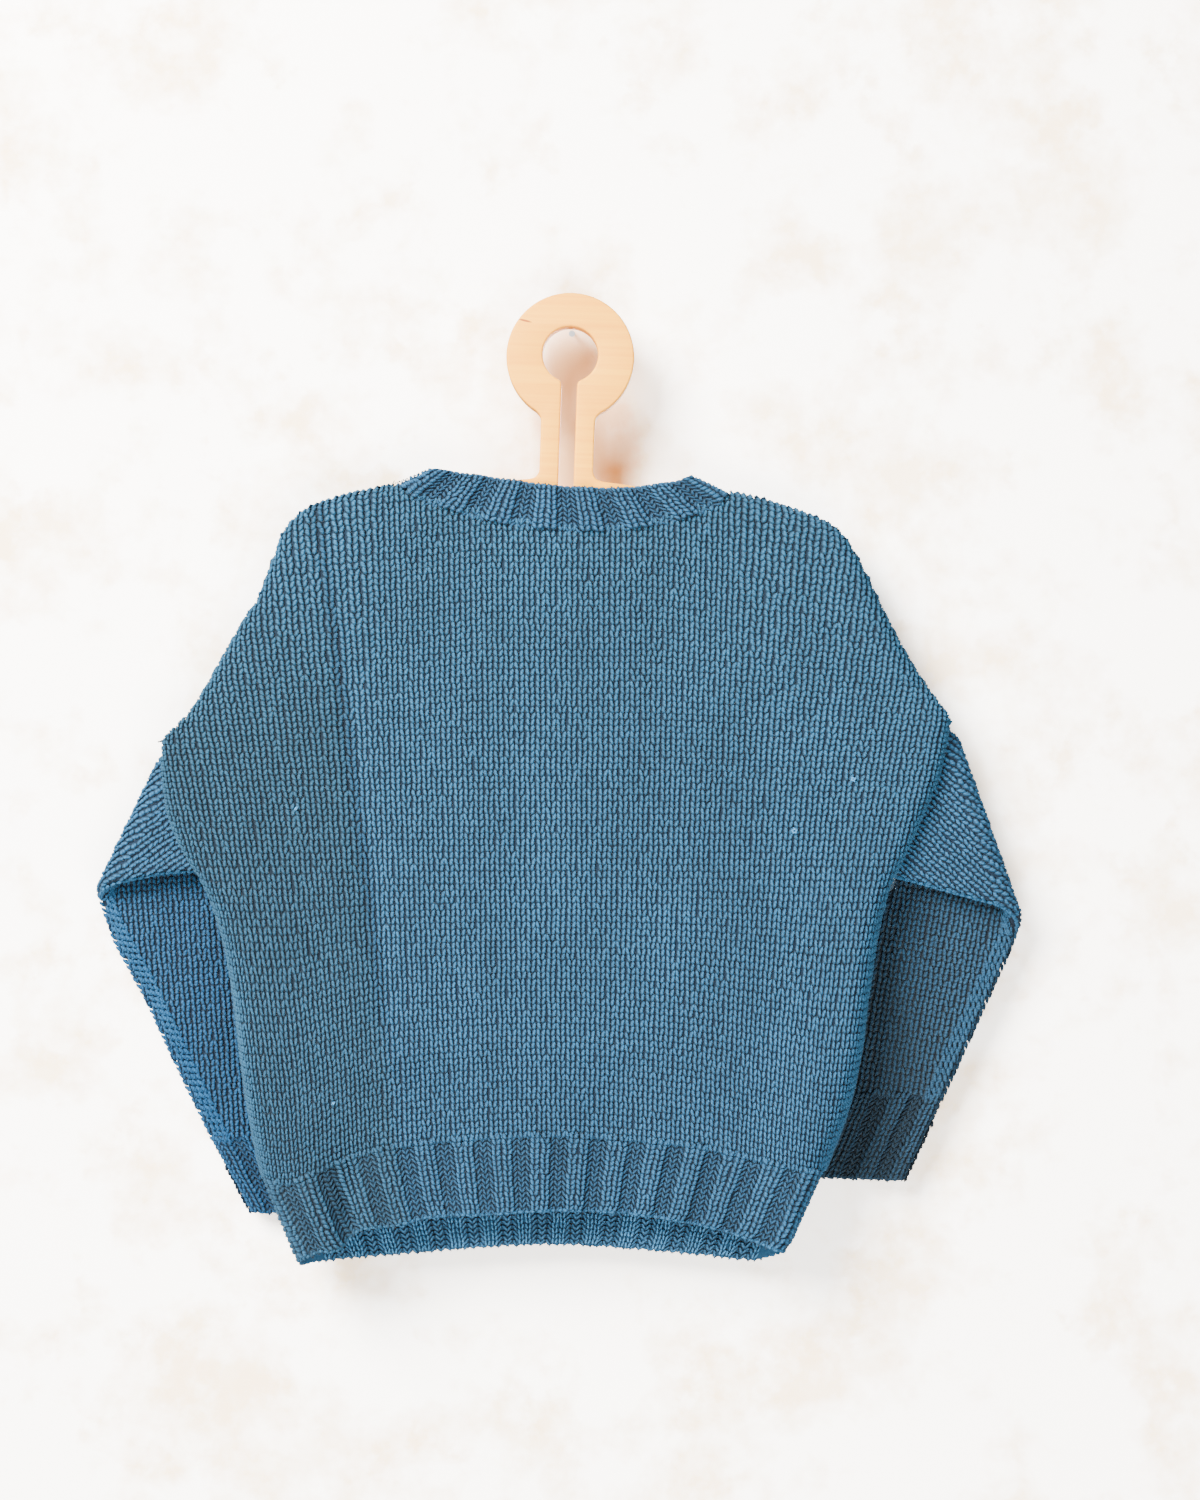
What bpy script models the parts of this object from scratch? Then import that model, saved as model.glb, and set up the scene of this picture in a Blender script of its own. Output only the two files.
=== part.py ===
"""Child's knitted wool sweater hanging flat on a small plywood hanger.

X runs to the right of a viewer who faces the sweater's back, Z is up, and the viewer stands at -Y.
The origin is the top of the hole in the hanger's ring, where a nail or peg carries it.
All sizes are millimetres, and MM turns them into metres.
"""

import bpy
import bmesh
import numpy as np
from math import cos, pi, radians, sin

MM = 0.001

# Cloth
WALL = 2.5                  # knitted fabric, relaxed
RIB_RELIEF = 1.2            # how far the knit columns of a 2x2 rib stand out
SEAM_GAP = 0.35             # between neighbouring pieces
TURN_RADIUS = 11.0          # how softly the cloth turns at its side folds
SHOULDER_RADIUS = 6.0       # and over the hanger's arms

# Sleeves
SLEEVE_HALF = 3.5           # half the thickness of a sleeve lying flat
SLEEVE_HOLLOW = 1.1         # half the gap between its two layers
FOLD_RADIUS = 6.2           # the elbow fold, at the middle of the sleeve's layers
CUFF_SET_BACK = 5.5         # how far the forearm leans back by its cuff
ARMHOLE_GAP = 3.65          # how far each panel's edge stands off the middle at the armhole
ELBOW_START = (1.5, -2.0)   # where the overarm edge meets the elbow fold's upper end, along it and across
LEAN_SPAN = (10.0, 150.0)   # how far past the elbow the forearm starts and stops leaning back

# Hanger
PLY = 10.0
HANGER_TILT = radians(2.0)  # it hangs a little askew on its nail
RING_OUTER = 30.6
RING_CENTRE = (0.0, -14.5)
RING_HOLE = 13.3
HOLE_CENTRE = (0.0, -13.3)
STEM_WIDTH = 25.8
SLOT_WIDTH = 7.4

# Side folds of the body: height, left edge, right edge
BODY_EDGE = (
    (-186, -195.5, 182.0),
    (-200, -196.0, 179.0),
    (-220, -195.0, 174.0),
    (-236, -192.0, 167.0),
    (-252, -185.0, 160.0),
    (-266, -176.5, 153.0),
    (-290, -168.0, 147.0),
    (-320, -162.0, 142.5),
    (-350, -158.5, 138.5),
    (-380, -154.0, 131.0),
    (-405, -148.5, 121.0),
    (-425, -141.0, 112.0),
    (-450, -130.5, 101.0),
)

# Shoulder line from corner to corner: x, z. The neckband rises between the two neck points
LEFT_SHOULDER = (
    (-195.5, -198), (-179, -179), (-168, -159), (-157, -140), (-146, -121), (-142.5, -108),
    (-134.5, -93), (-125, -86), (-111, -81), (-94, -77), (-82, -74.5),
)
RIGHT_SHOULDER = (
    (74, -78.5), (87, -81), (101, -85), (112, -89), (121, -92.5), (129, -98),
    (137.5, -111), (147, -130.5), (157, -150), (168, -169), (181, -187),
)
LEFT_NECK_POINT = (-67.5, -68.5)
RIGHT_NECK_POINT = (58.0, -71.5)

# Back neck, between the shoulder lines: x, z of the band's lower and upper edge
BACK_NECK_LOW = ((-82, -74.5), (-74, -80.5), (-56, -86.5), (-35, -92), (-3.5, -95.5), (17, -96), (46, -92),
                 (60, -88), (69, -84), (74, -78.5))
BACK_NECK_TOP = ((-67.5, -68.5), (-56, -70.2), (-43.5, -72), (-29, -74), (-11.5, -76.4), (10, -77.8),
                 (27, -77.8), (41, -76), (52, -74), (58, -71.5))
# Front neck, scooped lower behind the back one
FRONT_NECK_LOW = ((-82, -74.5), (-76, -90), (-62, -108), (-40, -122), (-4, -129), (32, -123), (55, -110),
                  (68, -94), (74, -78.5))
FRONT_NECK_TOP = ((-67.5, -68.5), (-60, -82), (-48, -95), (-30, -105), (-4, -110), (22, -106), (41, -97),
                  (53, -85), (58, -71.5))

# Welts, across the body: x, z
BACK_RIB_TOP = ((-147.5, -408), (-133, -408), (-116, -401), (-97, -394.5), (-60, -389), (-10, -386),
                (24, -388), (58, -391.5), (85, -397), (121, -405))
BACK_HEM = ((-131, -446), (-118.5, -438.5), (-109, -437.5), (-102, -431), (-84, -427.5), (-69, -424),
            (-40, -422), (-5, -420), (24, -421.5), (55, -426), (82, -433), (103, -441))
FRONT_RIB_TOP = ((-147.5, -411), (-110, -412), (-60, -409), (-5, -406), (60, -410), (90, -410), (121, -406))
FRONT_HEM = ((-131, -450), (-111, -447.5), (-82, -445), (-52, -442.5), (-5, -440.5), (34, -443),
             (64, -445.5), (94, -447), (103, -444))

# How deep the cloth lies in front of and behind the middle: height, back panel, front panel
BODY_DEPTH = (
    (-60, 8.0, 8.0),
    (-105, 8.0, 8.0),
    (-150, 10.0, 8.0),
    (-250, 13.5, 8.0),
    (-350, 17.0, 8.0),
    (-450, 19.0, 8.0),
)

# Large soft folds of the back: x and z of each end, width, height (a trough is negative)
BACK_FOLDS = (
    (-116, -126, -89, -330, 13, -1.8),
    (-132, -365, -118, -440, 15, 7.5),
    (-106, -390, -104, -440, 6, -3.5),
    (118, -330, 100, -440, 14, 2.5),
    (60, -300, 66, -440, 20, -1.5),
    (-30, -250, -20, -440, 26, 1.5),
)

FOLD_EASE = 16.0            # a fold fades out over this distance before the side fold

# Armholes: heights between which the panels part, opening up and closing again
LEFT_ARMHOLE = (-284, -268, -196, -172)
RIGHT_ARMHOLE = (-286, -272, -182, -160)
CORNER_SWING = 14.0         # height over which a side fold swings out to the armhole's corner
SHOULDER_TURN = (-125, -100)    # heights between which the turn tightens towards the shoulders
FOLD_LINE_LOW = -480.0      # the side folds run on past the hem, down to here
NECK_RUN = (16.0, 24.0)     # and inwards and up past the neck's points by this much

# Where the front panel stops short of the side fold, to clear the folded sleeve: height, distance
LEFT_TRIM = ((-262, 0.0), (-232, 1.5), (-215, 6.0), (-200, 12.0))
RIGHT_TRIM = ((-225, 0.0), (-210, 3.0), (-187, 12.0))
LEFT_FRONT_CORNER = (-182.0, -203.0)
RIGHT_FRONT_CORNER = (167.0, -191.0)

# Each sleeve: the middle of its elbow fold, then its edges, as x, z
LEFT_FOLD = ((-185.7, -201.0), (-217.0, -266.0))
LEFT_UNDERARM = ((-173, -260.5), (-195, -261.5), (-217, -266))
LEFT_FOREARM = ((-221.5, -295), (-206, -324), (-188.5, -362.5), (-174.5, -392))
LEFT_OVERARM_END = (-107, -392)
LEFT_CUFF = ((-156, -427), (-90, -427))
RIGHT_FOLD = ((172.5, -186.0), (205.0, -277.0))
RIGHT_UNDERARM = ((150.5, -262), (178, -269.5), (205, -277))
RIGHT_FOREARM = ((210.5, -304), (197, -333.5), (184, -362.5), (180, -371))
RIGHT_OVERARM_END = (112, -371)
RIGHT_CUFF = ((161.5, -411), (97, -409))

# Rib repeats and mesh density
HEM_RIB_PITCH = 16.0
NECK_RIB_PITCH = 20.0
CUFF_REPEATS = 4
RIDGE = (0.03, 0.49)        # where in a repeat the knit pair stands out
RIDGE_STATIONS = (0.04, 0.48, 0.56, 0.96)
RIB_EASE = 5.0              # a rib rises over this distance from the side fold
NECK_RIB_EASE = 4.0
NECK_CORNER_STEPS = (1.5, 4.5)
PANEL_SPAN = 300.0          # nominal width and height of a panel, for spacing its rows
BACK_COLUMNS, BACK_ROWS = 21, 17
FRONT_COLUMNS, FRONT_ROWS = 15, 13
TURN_STEPS = (0.0, 0.9, 3.2, 7.5, 13.0)
RIB_TURN_STEPS = (0.0, 1.2, 3.6, 8.0)
WELT_LEVELS = (0.0, 0.12, 0.5, 1.0)
NECK_LEVELS = (0.0, 0.35, 0.7, 1.0)
CUFF_LEVELS = (0.012, 0.4, 0.85, 1.0)
SIDE_LINE_POINTS = 200
SLEEVE_STEPS = 5
ROUND_POINTS = 5            # round each edge of a flattened sleeve
SLEEVE_ROWS = (3, 8, 9)     # above the elbow fold, round it and below it

# Right half of the hanger's outline below the ring: x, z. Fillets are measured from the stem's side
RING_NECK_REACH = 2.5       # how far the ring's arc stops outside the stem
RING_FILLET = ((0.6, -28.5), (0.0, -31.5))      # below the ring's centre
STEM_FILLET = ((0.0, -69.0), (0.9, -71.6), (2.9, -73.1), (6.5, -73.8))
ARM_START = (31, -75.0)
ARM_TOP = ((50, -78.3), (75, -84), (94, -88), (108, -92), (114, -94.5))
ARM_REACH = 121.0
ARM_END = -94.5
ARM_TIP_RADIUS = 5.0
ARM_TIP_DROP = 7.0
ARM_UNDERSIDE = ((100, -108), (60, -103), (25, -102), (0, -102))
SLOT_END = -88.0
MOUTH_REACH = 1.6           # how far the hole's arc stops outside the slot
MOUTH_FILLET = ((0.5, -13.0), (0.0, -14.8))     # from the slot's side, below the hole's centre
PLY_ROUNDING = 1.0


def smooth_through(points, at):
    """Cubic Hermite curve through rows of (key, value, ...), read at the keys in at."""
    rows = np.array(points, dtype=float)
    if rows[0, 0] > rows[-1, 0]:
        rows = rows[::-1]
    keys = rows[:, 0]
    values = rows[:, 1:]
    slopes = np.gradient(values, keys, axis=0)
    at = np.clip(np.asarray(at, dtype=float), keys[0], keys[-1])
    seat = np.clip(np.searchsorted(keys, at, side="right") - 1, 0, len(keys) - 2)
    span = (keys[seat + 1] - keys[seat])
    t = ((at - keys[seat]) / span)[..., None]
    span = span[..., None]
    start, end = values[seat], values[seat + 1]
    result = ((2 * t**3 - 3 * t**2 + 1) * start + (t**3 - 2 * t**2 + t) * span * slopes[seat]
              + (3 * t**2 - 2 * t**3) * end + (t**3 - t**2) * span * slopes[seat + 1])
    return result[..., 0] if result.shape[-1] == 1 else result


def soft_step(value, low, high):
    """0 below low, 1 above high, and smooth between them."""
    t = np.clip((value - low) / (high - low), 0, 1)
    return t * t * (3 - 2 * t)


def along_curve(points, count_per_mm=2.0):
    """A dense polyline through a row table of x and z, as an array."""
    x = np.linspace(points[0][0], points[-1][0], int(abs(points[-1][0] - points[0][0]) * count_per_mm) + 2)
    return np.column_stack((x, smooth_through(points, x)))


def resample(line, fractions):
    """Points of a polyline at fractions of its length."""
    steps = np.linalg.norm(np.diff(line, axis=0), axis=1)
    reach = np.concatenate(([0], np.cumsum(steps)))
    at = np.asarray(fractions) * reach[-1]
    return np.column_stack([np.interp(at, reach, line[:, k]) for k in range(line.shape[1])])


def length_of(line):
    """Length of a polyline."""
    return float(np.linalg.norm(np.diff(line, axis=0), axis=1).sum())


# Outline of the body


def body_edge(z, side, front=False):
    """X of the body's side fold at height z; the front panel is cut back round the folded sleeve."""
    x = smooth_through(BODY_EDGE, z)[..., 0 if side < 0 else 1]
    if front:
        trims = LEFT_TRIM if side < 0 else RIGHT_TRIM
        x = x - side * np.interp(z, [row[0] for row in trims], [row[1] for row in trims])
    return x


def corner(side, front=False):
    """The armhole's upper corner; side is -1 at the left and 1 at the right."""
    if front:
        return np.array(LEFT_FRONT_CORNER if side < 0 else RIGHT_FRONT_CORNER, dtype=float)
    return np.array(LEFT_SHOULDER[0] if side < 0 else RIGHT_SHOULDER[-1], dtype=float)


def shoulder_line(side, front=False):
    """Points of one shoulder line, from the armhole's corner to the neckband."""
    rows = LEFT_SHOULDER if side < 0 else RIGHT_SHOULDER[::-1]
    if front:
        rows = (tuple(corner(side, True)),) + rows[3:]
    return along_curve(rows)


def side_line(side, low, front=False):
    """Points of one side fold, from height low up to the armhole's corner."""
    top = corner(side, front)
    z = np.linspace(low, top[1], SIDE_LINE_POINTS)
    x = body_edge(z, side, front)
    blend = soft_step(z, top[1] - CORNER_SWING, top[1])
    x = x + (top[0] - body_edge(np.array([top[1]]), side, front)[0]) * blend
    return np.column_stack((x, z))


def fold_lines(front=False):
    """The lines where the cloth turns from back to front, on both sides."""
    lines = []
    for side, neck in ((-1, LEFT_NECK_POINT), (1, RIGHT_NECK_POINT)):
        beyond = np.array(((neck[0], neck[1]), (neck[0] - side * NECK_RUN[0], neck[1] + NECK_RUN[1])))
        lines.append(np.vstack((side_line(side, FOLD_LINE_LOW, front), shoulder_line(side, front), beyond)))
    return lines


def distance_to(lines, x, z):
    """Distance of every point to the nearest of some polylines."""
    best = np.full(np.shape(x), 1e9)
    for line in lines:
        for start, end in zip(line[:-1], line[1:]):
            way = end - start
            size = way @ way
            if size < 1e-9:
                continue
            t = np.clip(((x - start[0]) * way[0] + (z - start[1]) * way[1]) / size, 0, 1)
            gap = np.hypot(x - start[0] - t * way[0], z - start[1] - t * way[1])
            best = np.minimum(best, gap)
    return best


def armhole_stand_off(x, z):
    """How far a panel's edge keeps from the middle, to let the sleeve out between the panels."""
    left, right = [soft_step(z, span[0], span[1]) * (1 - soft_step(z, span[2], span[3]))
                   for span in (LEFT_ARMHOLE, RIGHT_ARMHOLE)]
    return SEAM_GAP / 2 + ARMHOLE_GAP * np.where(x < 0, left, right)


def fold_height(x, z):
    """Sum of the back's large ridges and troughs."""
    total = np.zeros(np.shape(x))
    for x0, z0, x1, z1, width, height in BACK_FOLDS:
        way = np.array((x1 - x0, z1 - z0))
        t = ((x - x0) * way[0] + (z - z0) * way[1]) / (way @ way)
        gap = np.hypot(x - x0 - np.clip(t, 0, 1) * way[0], z - z0 - np.clip(t, 0, 1) * way[1])
        rise = soft_step(t, -0.05, 0.35) * (1 - soft_step(t, 1.1, 1.5))
        total += height * np.exp(-(gap / width)**2) * rise
    return total


def body_surface(x, z, front, from_fold):
    """Outer surface of the body as points; from_fold is each point's distance to the turning edge."""
    radius = TURN_RADIUS + (SHOULDER_RADIUS - TURN_RADIUS) * soft_step(z, *SHOULDER_TURN)
    turn = np.sqrt(1 - (1 - np.clip(from_fold / radius, 0, 1))**2)
    edge = armhole_stand_off(x, z)
    full = smooth_through(BODY_DEPTH, z)[..., 1 if front else 0]
    depth = edge + (full - edge) * turn
    if front:
        return np.stack((x, depth, z), axis=-1)
    depth = depth + fold_height(x, z) * soft_step(from_fold, 0, FOLD_EASE)
    return np.stack((x, -depth, z), axis=-1)


# Walls and meshes


def grid_normals(points, outwards, ring=False):
    """Unit normals of a grid of points; outwards gives the sign. A ring closes on its columns."""
    if ring:
        across = np.roll(points, -1, axis=1) - np.roll(points, 1, axis=1)
    else:
        across = np.gradient(points, axis=1)
    up = np.gradient(points, axis=0)
    normals = np.cross(across, up)
    return outwards * normals / np.linalg.norm(normals, axis=-1, keepdims=True)


def wall_mesh(name, outer, inner, ring, finish):
    """A closed wall between two grids of points, with rims round its open borders."""
    rows, columns = outer.shape[:2]
    mesh = bmesh.new()
    sheets = []
    for sheet in (outer, inner):
        sheets.append([[mesh.verts.new(sheet[r, c] * MM) for c in range(columns)] for r in range(rows)])
    out, back = sheets
    last = columns if ring else columns - 1
    for c in range(last):
        d = (c + 1) % columns
        for r in range(rows - 1):
            mesh.faces.new((out[r][c], out[r][d], out[r + 1][d], out[r + 1][c]))
            mesh.faces.new((back[r][c], back[r + 1][c], back[r + 1][d], back[r][d]))
        mesh.faces.new((out[0][c], back[0][c], back[0][d], out[0][d]))
        mesh.faces.new((out[-1][c], out[-1][d], back[-1][d], back[-1][c]))
    if not ring:
        for r in range(rows - 1):
            mesh.faces.new((out[r][0], out[r + 1][0], back[r + 1][0], back[r][0]))
            mesh.faces.new((out[r][-1], back[r][-1], back[r + 1][-1], out[r + 1][-1]))
    bmesh.ops.recalc_face_normals(mesh, faces=mesh.faces)
    data = bpy.data.meshes.new(name)
    mesh.to_mesh(data)
    mesh.free()
    data.shade_smooth()
    data.materials.append(finish)
    thing = bpy.data.objects.new(name, data)
    GARMENT.objects.link(thing)
    return thing


def material(name, colour, roughness):
    """A plain material of one colour."""
    made = bpy.data.materials.new(name)
    made.use_nodes = True
    shader = made.node_tree.nodes["Principled BSDF"]
    shader.inputs["Base Color"].default_value = (*colour, 1)
    shader.inputs["Roughness"].default_value = roughness
    return made


# Body pieces


def edge_spread(count, length):
    """Stations from 0 to 1, close together at both ends, where the cloth turns."""
    near = np.array(TURN_STEPS) / length
    middle = np.linspace(near[-1], 1 - near[-1], count)[1:-1]
    return np.concatenate((near, middle, 1 - near[::-1]))


def patch(bottom, top, left, right, u, v):
    """A surface spanned by four border curves, read at the stations u across and v up."""
    u = np.asarray(u)[None, :, None]
    v = np.asarray(v)[:, None, None]
    bottom, top = bottom[None], top[None]
    left, right = left[:, None], right[:, None]
    spanned = (1 - v) * bottom + v * top + (1 - u) * left + u * right
    corners = ((1 - u) * (1 - v) * bottom[:, :1] + u * (1 - v) * bottom[:, -1:]
               + (1 - u) * v * top[:, :1] + u * v * top[:, -1:])
    return spanned - corners


def top_heights(x, front):
    """Height of a panel's upper border at x: shoulder lines with the neck between them."""
    left, right = shoulder_line(-1, front), shoulder_line(1, front)[::-1]
    neck = neck_seam(front)
    line = np.vstack((left[:-1], neck, right[1:]))
    return np.interp(x, line[:, 0], line[:, 1])


def panel_stations(front):
    """Stations across a panel, from one armhole corner to the other, with one at each neck corner."""
    u = edge_spread(FRONT_COLUMNS if front else BACK_COLUMNS, PANEL_SPAN)
    start, end = corner(-1, front)[0], corner(1, front)[0]
    for x, side in ((LEFT_SHOULDER[-1][0], -1), (RIGHT_SHOULDER[0][0], 1)):
        share = (x - start) / (end - start)
        u[np.argmin(abs(u - share))] = share
        u = np.append(u, [share - side * step / (end - start) for step in NECK_CORNER_STEPS])
    return np.sort(u)


def rib_seam(front):
    """The line between a panel and its welt, straight between the panel's stations."""
    rows = FRONT_RIB_TOP if front else BACK_RIB_TOP
    u = panel_stations(front)
    x = rows[0][0] + (rows[-1][0] - rows[0][0]) * u
    return np.column_stack((x, smooth_through(rows, x)))


def neck_seam(front):
    """The line between a panel and the neckband, straight between the panel's stations."""
    u = panel_stations(front)
    x = corner(-1, front)[0] + (corner(1, front)[0] - corner(-1, front)[0]) * u
    x = x[(x > LEFT_SHOULDER[-1][0] - 0.01) & (x < RIGHT_SHOULDER[0][0] + 0.01)]
    return np.column_stack((x, smooth_through(FRONT_NECK_LOW if front else BACK_NECK_LOW, x)))


def seat_on_seam(points, row, seam, gap=0.0):
    """Set the heights of a border row from the seam line, so that the rim keeps its gap."""
    points[row, :, 2] = np.interp(points[row, :, 0], seam[:, 0], seam[:, 1]) + gap
    return points


def side_points(side, low, v, front):
    """Points of a side fold at the shares v of its height, from low up to the armhole's corner."""
    line = side_line(side, low, front)
    z = low + (line[-1, 1] - low) * np.asarray(v)
    return np.column_stack((np.interp(z, line[:, 1], line[:, 0]), z))


def inner_wall(outer, normals, front):
    """The plain inside of a body wall, kept on its own side of the middle."""
    inner = outer - normals * WALL
    limit = armhole_stand_off(inner[..., 0], inner[..., 2])
    inner[..., 1] = np.maximum(inner[..., 1], limit) if front else np.minimum(inner[..., 1], -limit)
    return inner


def panel(name, front, finish):
    """One of the body's two panels, from its welt to the shoulders and neck."""
    u = panel_stations(front)
    v = edge_spread(FRONT_ROWS if front else BACK_ROWS, PANEL_SPAN)[len(TURN_STEPS) - 1:]
    v = (v - v[0]) / (1 - v[0])
    bottom = rib_seam(front) + np.array((0, SEAM_GAP))
    left, right = side_points(-1, bottom[0, 1], v, front), side_points(1, bottom[-1, 1], v, front)
    left[0], right[0] = bottom[0], bottom[-1]
    top_x = corner(-1, front)[0] + (corner(1, front)[0] - corner(-1, front)[0]) * u
    top = np.column_stack((top_x, top_heights(top_x, front)))
    top[0], top[-1] = left[-1], right[-1]
    flat = patch(bottom, top, left, right, u, v)
    x, z = flat[..., 0], flat[..., 1]
    from_fold = distance_to(fold_lines(front), x, z)
    from_fold[:, 0] = from_fold[:, -1] = 0
    on_shoulder = (top_x < LEFT_SHOULDER[-1][0]) | (top_x > RIGHT_SHOULDER[0][0])
    from_fold[-1, on_shoulder] = 0
    outer = body_surface(x, z, front, from_fold)
    inner = inner_wall(outer, grid_normals(outer, -1 if front else 1), front)
    seat_on_seam(inner, 0, rib_seam(front), SEAM_GAP)
    neck = neck_seam(front)
    at_neck = ~on_shoulder
    inner[-1, at_neck, 2] = np.interp(inner[-1, at_neck, 0], neck[:, 0], neck[:, 1])
    return wall_mesh(name, outer, inner, False, finish)


def rib_height(position, pitch):
    """Relief of a 2x2 rib at a place along the cloth: raised knit columns, sunken purl ones."""
    phase = (np.asarray(position) / pitch) % 1.0
    return np.where((phase > RIDGE[0]) & (phase < RIDGE[1]), RIB_RELIEF, 0.0)


def rib_stations(length, pitch):
    """Places along a ribbed piece: both shoulders of every ridge, and closer ones at the folds."""
    places = []
    for repeat in range(int(length / pitch) + 1):
        places += [(repeat + phase) * pitch for phase in RIDGE_STATIONS]
    reach = RIB_TURN_STEPS[-1]
    places = [place for place in places if reach < place < length - reach]
    return np.array(sorted([*RIB_TURN_STEPS, *places, *(length - step for step in RIB_TURN_STEPS)]))


def welt(name, hem, front, finish):
    """A ribbed welt between its panel's lower edge and the hem."""
    rib_top = rib_seam(front)
    width = hem[-1][0] - hem[0][0]
    places = rib_stations(width, HEM_RIB_PITCH)
    u = places / width
    v = np.array(WELT_LEVELS)
    left = np.array((hem[0], rib_top[0]))
    right = np.array((hem[-1], rib_top[-1]))
    left = np.array([left[0] + (left[1] - left[0]) * k for k in v])
    right = np.array([right[0] + (right[1] - right[0]) * k for k in v])
    left[1:-1, 0] = body_edge(left[1:-1, 1], -1)
    right[1:-1, 0] = body_edge(right[1:-1, 1], 1)
    bottom_x = hem[0][0] + width * u
    bottom = np.column_stack((bottom_x, smooth_through(hem, bottom_x)))
    top_x = left[-1, 0] + (right[-1, 0] - left[-1, 0]) * u
    top = np.column_stack((top_x, np.interp(top_x, rib_top[:, 0], rib_top[:, 1])))
    bottom[0], bottom[-1], top[0], top[-1] = left[0], right[0], left[-1], right[-1]
    flat = patch(bottom, top, left, right, u, v)
    x, z = flat[..., 0], flat[..., 1]
    from_fold = distance_to(fold_lines(), x, z)
    from_fold[:, 0] = from_fold[:, -1] = 0
    base = body_surface(x, z, front, from_fold)
    normals = grid_normals(base, -1 if front else 1)
    relief = rib_height(places, HEM_RIB_PITCH)[None, :, None] * soft_step(from_fold, 0, RIB_EASE)[..., None]
    outer = seat_on_seam(base + normals * relief, -1, rib_top)
    inner = seat_on_seam(inner_wall(base, normals, front), -1, rib_top)
    return wall_mesh(name, outer, inner, False, finish)


def neckband(finish):
    """One closed ring of rib round the neck, shallow at the back and scooped at the front."""
    low_rows, top_rows, places = [], [], []
    start = 0.0
    for top, front in ((BACK_NECK_TOP, False), (FRONT_NECK_TOP, True)):
        low_line, top_line = neck_seam(front), along_curve(top, 8)
        length = (length_of(low_line) + length_of(top_line)) / 2
        stations = rib_stations(length, NECK_RIB_PITCH)
        share = stations / length
        low_part, top_part = resample(low_line, share), resample(top_line, share)
        if front:
            low_part, top_part, stations = low_part[::-1], top_part[::-1], length - stations[::-1]
        side = np.full(len(share), 1.0 if front else -1.0)
        low_rows.append(np.column_stack((low_part, side))[:-1])
        top_rows.append(top_part[:-1])
        places.append((start + stations)[:-1])
        start += length
    low = np.vstack(low_rows)
    top = np.vstack(top_rows)
    along = np.concatenate(places)
    side = low[:, 2]
    low = low[:, :2]
    ends = np.array((0, len(low_rows[0])))
    to_top = np.stack((side, -side), axis=-1) * (np.roll(low, -1, axis=0) - np.roll(low, 1, axis=0))[:, ::-1]
    to_top[ends] = ((1, 1), (-1, 1))
    low = low + SEAM_GAP * to_top / np.linalg.norm(to_top, axis=1, keepdims=True)
    v = np.array(NECK_LEVELS)[:, None, None]
    flat = low + (top - low) * v
    x, z = flat[..., 0], flat[..., 1]
    from_fold = distance_to(fold_lines(), x, z)
    from_fold[:, ends] = 0
    surface = body_surface(x, z, False, from_fold)
    surface[..., 1] = np.where(side > 0, -1, 1) * surface[..., 1]
    surface[:, ends, 1] = 0
    normals = grid_normals(surface, 1, ring=True)
    normals[0, :, 2] = 0
    normals[0] /= np.linalg.norm(normals[0], axis=-1, keepdims=True)
    rise = soft_step(from_fold, 0, NECK_RIB_EASE)
    relief = (rib_height(along, NECK_RIB_PITCH) * rise)[..., None]
    return wall_mesh("neckband", surface + normals * relief, surface - normals * WALL, True, finish)


# Sleeves


class Fold:
    """The elbow fold: the sleeve lies flat in the picture plane, then turns back behind itself."""

    def __init__(self, line, side):
        self.top = np.array(line[0])
        way = np.array(line[1]) - self.top
        self.way = way / np.linalg.norm(way)
        self.out = np.array((side * abs(self.way[1]), abs(self.way[0])))

    def upper(self, point):
        """Unfolded place of a point on the upper sleeve: along the fold, across it."""
        gap = np.asarray(point, dtype=float) - self.top
        return np.array((gap @ self.way, gap @ self.out))

    def lower(self, point):
        """Unfolded place of a point on the forearm, which lies behind."""
        gap = np.asarray(point, dtype=float) - self.top
        return np.array((gap @ self.way, pi * FOLD_RADIUS - gap @ self.out))

    def place(self, along, across, layer):
        """A point of the unfolded sleeve, folded; layer is its height in the cloth's thickness."""
        angle = np.clip(across / FOLD_RADIUS, 0, pi)
        radius = FOLD_RADIUS - layer
        past = np.maximum(across - pi * FOLD_RADIUS, 0)
        reach = np.minimum(across, 0) + radius * np.sin(angle) - past
        depth = FOLD_RADIUS - radius * np.cos(angle)
        depth = depth + CUFF_SET_BACK * soft_step(past, *LEAN_SPAN)
        flat = self.top + along[..., None] * self.way + reach[..., None] * self.out
        return np.stack((flat[..., 0], depth, flat[..., 1]), axis=-1)


def flat_loop(width, half, inset):
    """Section of a flattened tube: places across its width and in its thickness, once round."""
    start, end = inset + half, width - inset - half
    angles = np.linspace(-pi / 2, pi / 2, ROUND_POINTS)
    across, layer = [], []
    for k in range(SLEEVE_STEPS):
        across.append(start + (end - start) * k / SLEEVE_STEPS)
        layer.append(-half)
    for angle in angles[:-1]:
        across.append(end + half * cos(angle))
        layer.append(half * sin(angle))
    for k in range(SLEEVE_STEPS):
        across.append(end - (end - start) * k / SLEEVE_STEPS)
        layer.append(half)
    for angle in angles[:-1]:
        across.append(start - half * cos(angle))
        layer.append(-half * sin(angle))
    return np.array(across), np.array(layer)


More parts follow.
